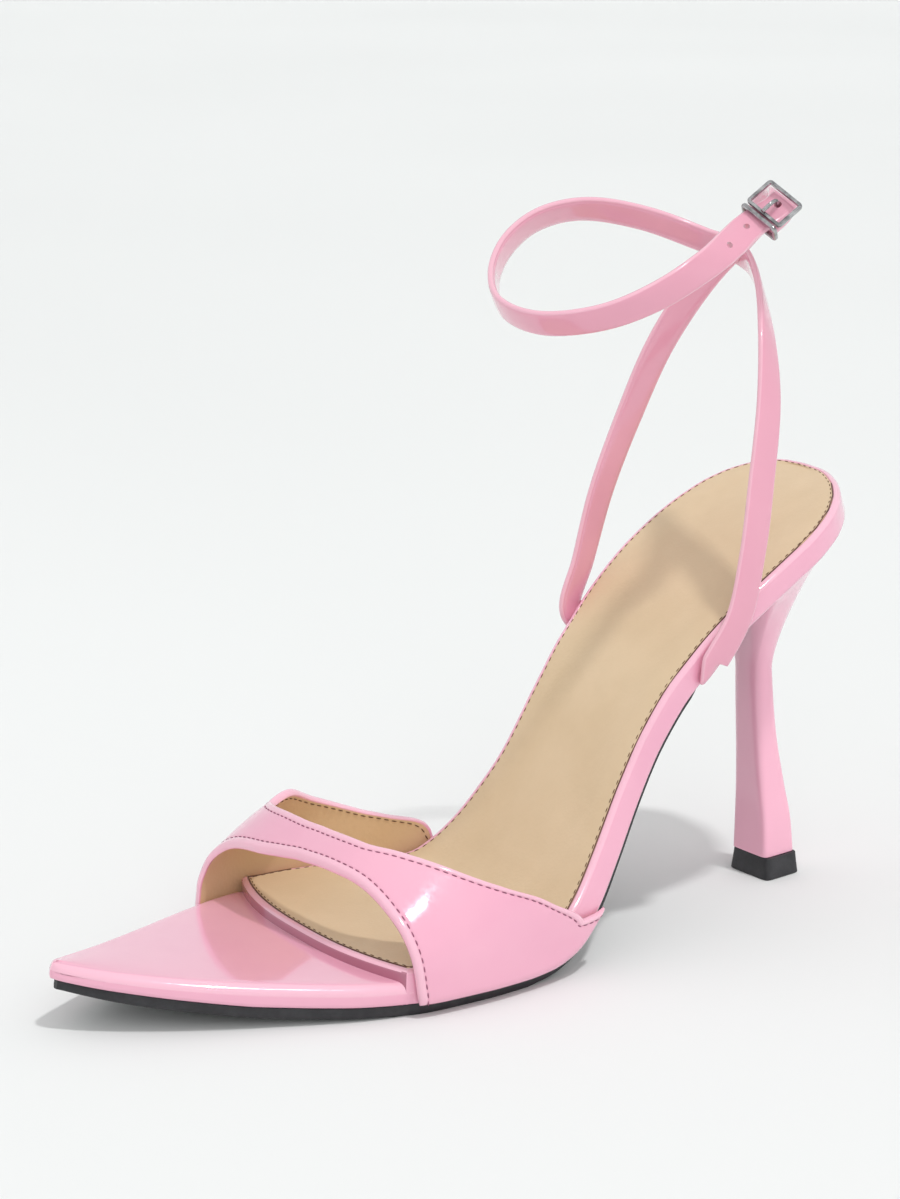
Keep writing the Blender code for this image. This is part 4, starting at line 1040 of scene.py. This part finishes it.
def noise(mat, place, scale, detail=2.0, rough=0.5):
    """Noise texture in object space."""
    node = mat.node_tree.nodes.new("ShaderNodeTexNoise")
    node.inputs["Scale"].default_value = scale
    node.inputs["Detail"].default_value = detail
    node.inputs["Roughness"].default_value = rough
    join(mat, place, node.inputs["Vector"])
    return node.outputs["Fac"]


def spread(mat, value, low, high, start=0.3, stop=0.7):
    """Value mapped from a noise's usual range to low and high."""
    node = mat.node_tree.nodes.new("ShaderNodeMapRange")
    node.inputs["From Min"].default_value = start
    node.inputs["From Max"].default_value = stop
    node.inputs["To Min"].default_value = low
    node.inputs["To Max"].default_value = high
    join(mat, value, node.inputs["Value"])
    return node.outputs["Result"]


def blend_colour(mat, factor, one, two):
    """Mix of two colours (or links) by a factor."""
    node = mat.node_tree.nodes.new("ShaderNodeMix")
    node.data_type = "RGBA"
    join(mat, factor, node.inputs[0])
    for socket, colour in ((node.inputs[6], one), (node.inputs[7], two)):
        if isinstance(colour, tuple):
            socket.default_value = (*colour, 1.0)
        else:
            join(mat, colour, socket)
    return node.outputs[2]


def bump_chain(mat, shader, parts):
    """Bump layers (height, strength, distance) one after another."""
    last = None
    for height, strength, distance in parts:
        node = mat.node_tree.nodes.new("ShaderNodeBump")
        node.inputs["Strength"].default_value = strength
        node.inputs["Distance"].default_value = distance
        join(mat, height, node.inputs["Height"])
        if last is not None:
            join(mat, last, node.inputs["Normal"])
        last = node.outputs["Normal"]
    join(mat, last, shader.inputs["Normal"])


def patent(name, deep, pale, painted_highlight_colour, rough=(0.1, 0.2), coat=0.9):
    """Patent leather: colour drift, folded rims made lighter as a painted highlight, orange peel and soft
    waves under a clear coat.
    """
    mat, shader, place = new_material(name)
    drift = noise(mat, place, 28.0, 3.0)
    grain = noise(mat, place, 900.0, 2.0)
    waves = noise(mat, place, 75.0, 1.0)
    base = blend_colour(mat, spread(mat, drift, 0.0, 1.0), deep, pale)
    # marked edges are mixed toward a paler pink: a painted highlight along the folds
    painted_highlight = mat.node_tree.nodes.new("ShaderNodeAttribute")
    painted_highlight.attribute_name = "painted_highlight"
    edge = spread(mat, painted_highlight.outputs["Fac"], 0.0, 0.7, 0.0, 1.0)
    join(mat, blend_colour(mat, edge, base, painted_highlight_colour), shader.inputs["Base Color"])
    join(mat, spread(mat, grain, rough[0], rough[1]), shader.inputs["Roughness"])
    shader.inputs["IOR"].default_value = 1.5
    shader.inputs["Coat Weight"].default_value = coat
    shader.inputs["Coat Roughness"].default_value = 0.035
    shader.inputs["Subsurface Weight"].default_value = 0.0
    bump_chain(mat, shader, [(grain, 0.05, 0.00012), (waves, 0.12, 0.0005)])
    return mat


def tan_leather(name, dark, light, grain_strength=0.25):
    """Smooth tan leather: fine pore grain, mottled colour and a soft low sheen."""
    mat, shader, place = new_material(name)
    mottle = noise(mat, place, 45.0, 4.0, 0.6)
    cloud = noise(mat, place, 11.0, 2.0)
    colour = blend_colour(mat, spread(mat, mottle, 0.0, 1.0, 0.25, 0.75), dark, light)
    shade = blend_colour(mat, spread(mat, cloud, 0.0, 0.35), colour, tuple(c * 0.9 for c in dark))
    join(mat, shade, shader.inputs["Base Color"])
    pore = mat.node_tree.nodes.new("ShaderNodeTexVoronoi")
    pore.inputs["Scale"].default_value = 1100.0
    join(mat, place, pore.inputs["Vector"])
    fine = noise(mat, place, 1900.0, 3.0)
    join(mat, spread(mat, fine, 0.42, 0.56), shader.inputs["Roughness"])
    shader.inputs["Sheen Weight"].default_value = 0.15
    bump_chain(mat, shader, [(pore.outputs["Distance"], grain_strength, 0.00012), (mottle, 0.06, 0.0006)])
    return mat


def black_rubber(name):
    """Black sole rubber: near black with a faint moulded grain and scuffs."""
    mat, shader, place = new_material(name)
    scuff = noise(mat, place, 160.0, 5.0, 0.7)
    grain = noise(mat, place, 1500.0, 2.0)
    wear_and_painted_reflection = spread(mat, scuff, 0.0, 1.0, 0.45, 0.8)
    colour = blend_colour(mat, wear_and_painted_reflection, (0.018, 0.018, 0.021), (0.05, 0.05, 0.055))
    join(mat, colour, shader.inputs["Base Color"])
    join(mat, spread(mat, scuff, 0.38, 0.6), shader.inputs["Roughness"])
    bump_chain(mat, shader, [(grain, 0.25, 0.00015)])
    return mat


def polished_metal(name):
    """Polished silver buckle metal with faint brushing; its mottled dark-to-light base colour is painted
    reflection of dark surroundings.
    """
    mat, shader, place = new_material(name)
    stretch = mat.node_tree.nodes.new("ShaderNodeMapping")
    stretch.inputs["Scale"].default_value = (1.0, 6.0, 1.0)
    join(mat, place, stretch.inputs["Vector"])
    brush = noise(mat, stretch.outputs["Vector"], 900.0, 4.0, 0.7)
    # dark patches in the base colour are painted reflection of dark surroundings
    wear_and_painted_reflection = spread(mat, noise(mat, place, 500.0, 3.0), 0.0, 1.0)
    colour = blend_colour(mat, wear_and_painted_reflection, (0.24, 0.24, 0.25), (0.62, 0.62, 0.63))
    join(mat, colour, shader.inputs["Base Color"])
    shader.inputs["Metallic"].default_value = 1.0
    join(mat, spread(mat, brush, 0.05, 0.14), shader.inputs["Roughness"])
    bump_chain(mat, shader, [(brush, 0.06, 0.00005)])
    return mat


def thread(name, dark, light):
    """Sewing thread: twisted strands show as a fine ripple."""
    mat, shader, place = new_material(name)
    twist = mat.node_tree.nodes.new("ShaderNodeTexWave")
    twist.inputs["Scale"].default_value = 1400.0
    twist.inputs["Distortion"].default_value = 1.5
    join(mat, place, twist.inputs["Vector"])
    join(mat, blend_colour(mat, twist.outputs["Fac"], dark, light), shader.inputs["Base Color"])
    shader.inputs["Roughness"].default_value = 0.6
    bump_chain(mat, shader, [(twist.outputs["Fac"], 0.3, 0.0001)])
    return mat


def pale_studio(name):
    """Plain pale floor and backdrop."""
    mat, shader, place = new_material(name)
    cloud = spread(mat, noise(mat, place, 1.5, 1.0), 0.0, 1.0)
    colour = blend_colour(mat, cloud, (0.80, 0.81, 0.805), (0.82, 0.83, 0.825))
    join(mat, colour, shader.inputs["Base Color"])
    shader.inputs["Roughness"].default_value = 0.85
    shader.inputs["Specular IOR Level"].default_value = 0.15
    return mat


def insole_border(inset, above_tan):
    """Path round the insole beside the rolled pink edge, for its stitches and the dark line of painted shade.
    """
    loop = inset_loop(outline_loop(board_stations(), board_edges), TAN_INSET + inset)
    px, pz = profile_point(loop[:, 0], RISE + TAN_PROUD + above_tan)
    above, up = profile_point(loop[:, 0], RISE + 5.0)
    rows = []
    for i in range(len(loop)):
        normal = np.array([above[i] - px[i], 0.0, up[i] - pz[i]])
        rows.append((np.array([px[i], loop[i, 1], pz[i]]), normal / np.linalg.norm(normal)))
    return rows


def painted_shade_line_path():
    """Dark line of painted shade in the groove beside the tan, from the back of the seat along the outer side
    and round the nose.
    """
    points = [p for p, _ in insole_border(-0.06, -0.05)][::3]
    kept = [p[1] > 2.0 or p[0] > 118.0 for p in points]
    first = next(i for i in range(len(points)) if kept[i] and not kept[i - 1])
    return [points[(first + k) % len(points)] for k in range(sum(kept))]


def buckle_axes():
    """Middle of the buckle, and the directions along the strap, across it and outward."""
    share, wide, height = BUCKLE_SHARES
    at = np.array([lengthwise(share), wide * BALL_WIDTH, loop_height(height)])
    along = np.array(BUCKLE_ALONG)
    along /= np.linalg.norm(along)
    out = np.array(BUCKLE_OUT)
    out -= along * np.dot(out, along)
    out /= np.linalg.norm(out)
    return at, along, np.cross(out, along), out


def make_buckle(metal):
    """Buckle frame, the keeper that holds the strap beside it, and the prong."""
    at, along, across, out = buckle_axes()
    half_a = BUCKLE_LENGTH / 2 - BUCKLE_WIRE / 2
    corners = rounded_rectangle(half_a, BUCKLE_WIDTH / 2 - BUCKLE_WIRE / 2, BUCKLE_CORNER)
    loop = [at + along * a + across * b for a, b in corners]
    section = oval(BUCKLE_WIRE * 0.37, BUCKLE_WIRE / 2, 20, 3.0)
    frame_piece = wire("buckle_frame_silver", loop, section, True, metal, out)
    near = -half_a
    keeper_at = near - BUCKLE_WIRE / 2 - GAP - KEEPER_WIRE / 2
    half = STRAP_WIDTH / 2 + GAP + KEEPER_WIRE / 2 + 0.5
    deep = STRAP_THICK + KEEPER_WIRE / 2 - GAP
    corners = rounded_rectangle(half, deep, KEEPER_CORNER)
    loop = [at + along * keeper_at + across * a + out * (b - deep + BUCKLE_WIRE * 0.2) for a, b in corners]
    section = oval(KEEPER_WIRE / 2, KEEPER_WIRE / 2, 20, 3.0)
    keeper = wire("strap_keeper_silver", loop, section, True, metal, along)
    lift = BUCKLE_WIRE / 2 + 0.05 + PRONG_WIRE / 2
    line = [
        (PRONG_REACH, -2.7), (PRONG_REACH, -1.8), (PRONG_REACH - 0.05, -0.8), (PRONG_REACH - 0.2, 0.2),
        (PRONG_REACH - 0.7, lift * 0.8), (PRONG_REACH - 1.5, lift), (PRONG_REACH - 2.6, lift + 0.1),
        (near - 0.3, lift + 0.05),
    ]
    rows = catmull([(a, b, 0.0, 0.0, 0.0, 0.0) for a, b in line], 5)
    points = [at + along * r[0] + out * r[1] for r in rows]
    prong = wire("prong_silver", points, oval(PRONG_WIRE / 2, PRONG_WIRE / 2, 16), False, metal, across)
    return frame_piece, keeper, prong


def add_light(name, place, aim, size, power):
    """Square soft light aimed at a point."""
    data = bpy.data.lights.new(name, "AREA")
    data.size = size
    data.energy = power
    lamp = add_object(name, data)
    lamp.location = place
    lamp.rotation_euler = (Vector(aim) - Vector(place)).to_track_quat("-Z", "Y").to_euler()
    return lamp


def add_sun(name, direction, angle, strength):
    """Far lamp seen in a direction, a few degrees wide."""
    data = bpy.data.lights.new(name, "SUN")
    data.energy = strength
    data.angle = math.radians(angle)
    lamp = add_object(name, data)
    lamp.rotation_euler = Vector(direction).to_track_quat("Z", "Y").to_euler()
    return lamp


def make_stage():
    """Pale floor that curves up into a backdrop far behind, soft light and the photograph's camera."""
    away = Vector((-0.498, -0.838, 0.0)).normalized()
    across = Vector((away.y, -away.x, 0.0))
    flat = 4.0
    turn = 2.0
    profile = [(-3.0, 0.0), (flat, 0.0)]
    for k in range(1, 13):
        a = math.pi / 2 * k / 12
        profile.append((flat + turn * math.sin(a), turn * (1 - math.cos(a))))
    profile.append((flat + turn, 5.0))
    verts = []
    for s, z in profile:
        for w in (-6.0, 6.0):
            p = away * s + across * w
            verts.append((p.x / MM, p.y / MM, z / MM))
    faces = [(2 * k, 2 * k + 1, 2 * k + 3, 2 * k + 2) for k in range(len(profile) - 1)]
    sweep = make_mesh("studio_sweep", verts, faces, [pale_studio("pale_studio_paper")], 60.0)
    key = add_sun("key", (-0.11, 0.32, 0.94), 4.0, 1.12)
    key.visible_glossy = False
    glint = add_sun("glint", (0.102, 0.573, 0.813), 1.4, 1.2)
    glint.visible_diffuse = False
    fill = add_light("fill", (0.8, 1.5, 0.8), (0.075, 0.0, 0.085), 1.2, 5.5)
    fill.visible_glossy = False
    bpy.context.scene.view_settings.view_transform = "Standard"
    world = bpy.data.worlds.new("studio_air")
    world.use_nodes = True
    back = world.node_tree.nodes["Background"]
    back.inputs["Color"].default_value = (0.93, 0.94, 0.94, 1.0)
    back.inputs["Strength"].default_value = 0.8
    bpy.context.scene.world = world
    data = bpy.data.cameras.new("photo_camera")
    data.lens = 92.0
    data.sensor_width = 36.0
    camera = add_object("photo_camera", data)
    camera.location = (0.4805, 0.5873, 0.2637)
    aim = Vector((0.0925, -0.008, 0.0835))
    camera.rotation_euler = (aim - camera.location).to_track_quat("-Z", "Y").to_euler()
    bpy.context.scene.camera = camera


def main():
    """Builds every piece, hides the model parts that they replace, attaches the pieces to the root body and
    sets the stage.
    """
    # Each patent's third colour is the painted highlight mixed into its marked edges.
    pink = patent("pink_patent", (0.84, 0.39, 0.53), (0.88, 0.44, 0.57), (0.91, 0.53, 0.64))
    strap_pink = patent("strap_patent", (0.76, 0.33, 0.44), (0.80, 0.37, 0.48), (0.88, 0.50, 0.60))
    # The heel's pink is made lighter as painted light, for light that its sides don't get from the lamps.
    heel_pink_painted_lighter = patent(
        "heel_patent_painted_lighter", (0.92, 0.45, 0.59), (0.95, 0.49, 0.62), (0.95, 0.56, 0.67), (0.16, 0.2), 0.6)
    # Deep pink for the board's nose wall: painted shade of the hollow under the vamp.
    painted_shade = patent("painted_shade_patent", (0.40, 0.12, 0.19), (0.48, 0.16, 0.24), (0.55, 0.22, 0.30))
    tan = tan_leather("tan_insole_leather", (0.66, 0.49, 0.30), (0.76, 0.58, 0.38))
    lining = tan_leather("tan_lining_leather", (0.66, 0.45, 0.25), (0.76, 0.55, 0.33), 0.35)
    black = black_rubber("black_sole")
    metal = polished_metal("silver_buckle")
    mauve = thread("mauve_thread", (0.24, 0.07, 0.13), (0.38, 0.13, 0.21))
    brown = thread("brown_thread", (0.10, 0.045, 0.02), (0.2, 0.1, 0.05))
    # Dark brown for the line of painted shade in the groove beside the tan.
    painted_shade_line = tan_leather("painted_shade_line_leather", (0.10, 0.035, 0.02), (0.17, 0.07, 0.04), 0.4)

    board = make_board(pink)
    # The nose wall's faces take the deep pink as painted shade.
    board.data.materials.append(painted_shade)
    for face in board.data.polygons:
        if face.center.x > (NOSE_X - NOSE_DROP) * MM and abs(face.normal.z) < 0.5:
            face.material_index = 1
    toe = make_toe(pink)
    insole = make_insole(tan)
    outsole = make_outsole(black)
    heel = make_heel(heel_pink_painted_lighter)
    lift = make_lift(black)
    vamp, stitch = make_vamp(pink, lining)
    long_strap, centre, outs = make_strap("long_strap", 1, LONG_PATH, strap_pink)
    short_strap, _, _ = make_strap("short_strap", -1, SHORT_PATH, strap_pink)

    at, along, across, out = buckle_axes()
    nearest = int(np.argmin(np.linalg.norm(centre - (at - out * 2.0), axis=1)))
    travelled = np.append(0.0, np.cumsum(np.linalg.norm(np.diff(centre, axis=0), axis=1)))
    holes = [(at + along * PRONG_REACH - out * 2.0, out, HOLE_RADIUS * 1.15)]
    for step in HOLE_STEPS:
        where = travelled[nearest] - step
        place = [float(np.interp(where, travelled, centre[:, c])) for c in range(3)]
        axis = [float(np.interp(where, travelled, outs[:, c])) for c in range(3)]
        holes.append((place, axis, HOLE_RADIUS))
    punch(long_strap, holes)
    buckle, keeper, prong = make_buckle(metal)

    rows = [
        sew("vamp_front_stitches", stitch["front"], mauve),
        sew("vamp_topline_stitches", stitch["rear"], mauve),
        sew("vamp_lining_stitches", stitch["lining"], brown),
        sew("insole_stitches", insole_border(0.45, 0.03), brown, 2.4, 1.3, 0.26, True),
        # thin dark line of painted shade beside the tan
        wire("insole_painted_shade_line", painted_shade_line_path(), oval(0.15, 0.15, 8), False, painted_shade_line, (-0.4, 0.0, 0.9)),
    ]

    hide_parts("footbed")
    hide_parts("insole")
    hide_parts("outsole")
    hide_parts("heel")
    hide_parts("top_lift")
    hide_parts("vamp")
    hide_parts("ankle_strap")
    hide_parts("buckle_frame")
    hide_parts("strap_keeper")
    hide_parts("prong")
    slots = {
        "pink_patent_leather": [board, toe],
        "tan_leather": [insole],
        "black_sole_rubber": [outsole],
        "heel_wrap_leather": [heel],
        "top_lift_rubber": [lift],
        "vamp_leather": [vamp] + rows,
        "strap_leather": [long_strap, short_strap],
        "buckle_metal": [buckle, keeper, prong],
    }
    for slot, pieces in slots.items():
        for piece in pieces:
            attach(piece, "root")
    make_stage()


main()
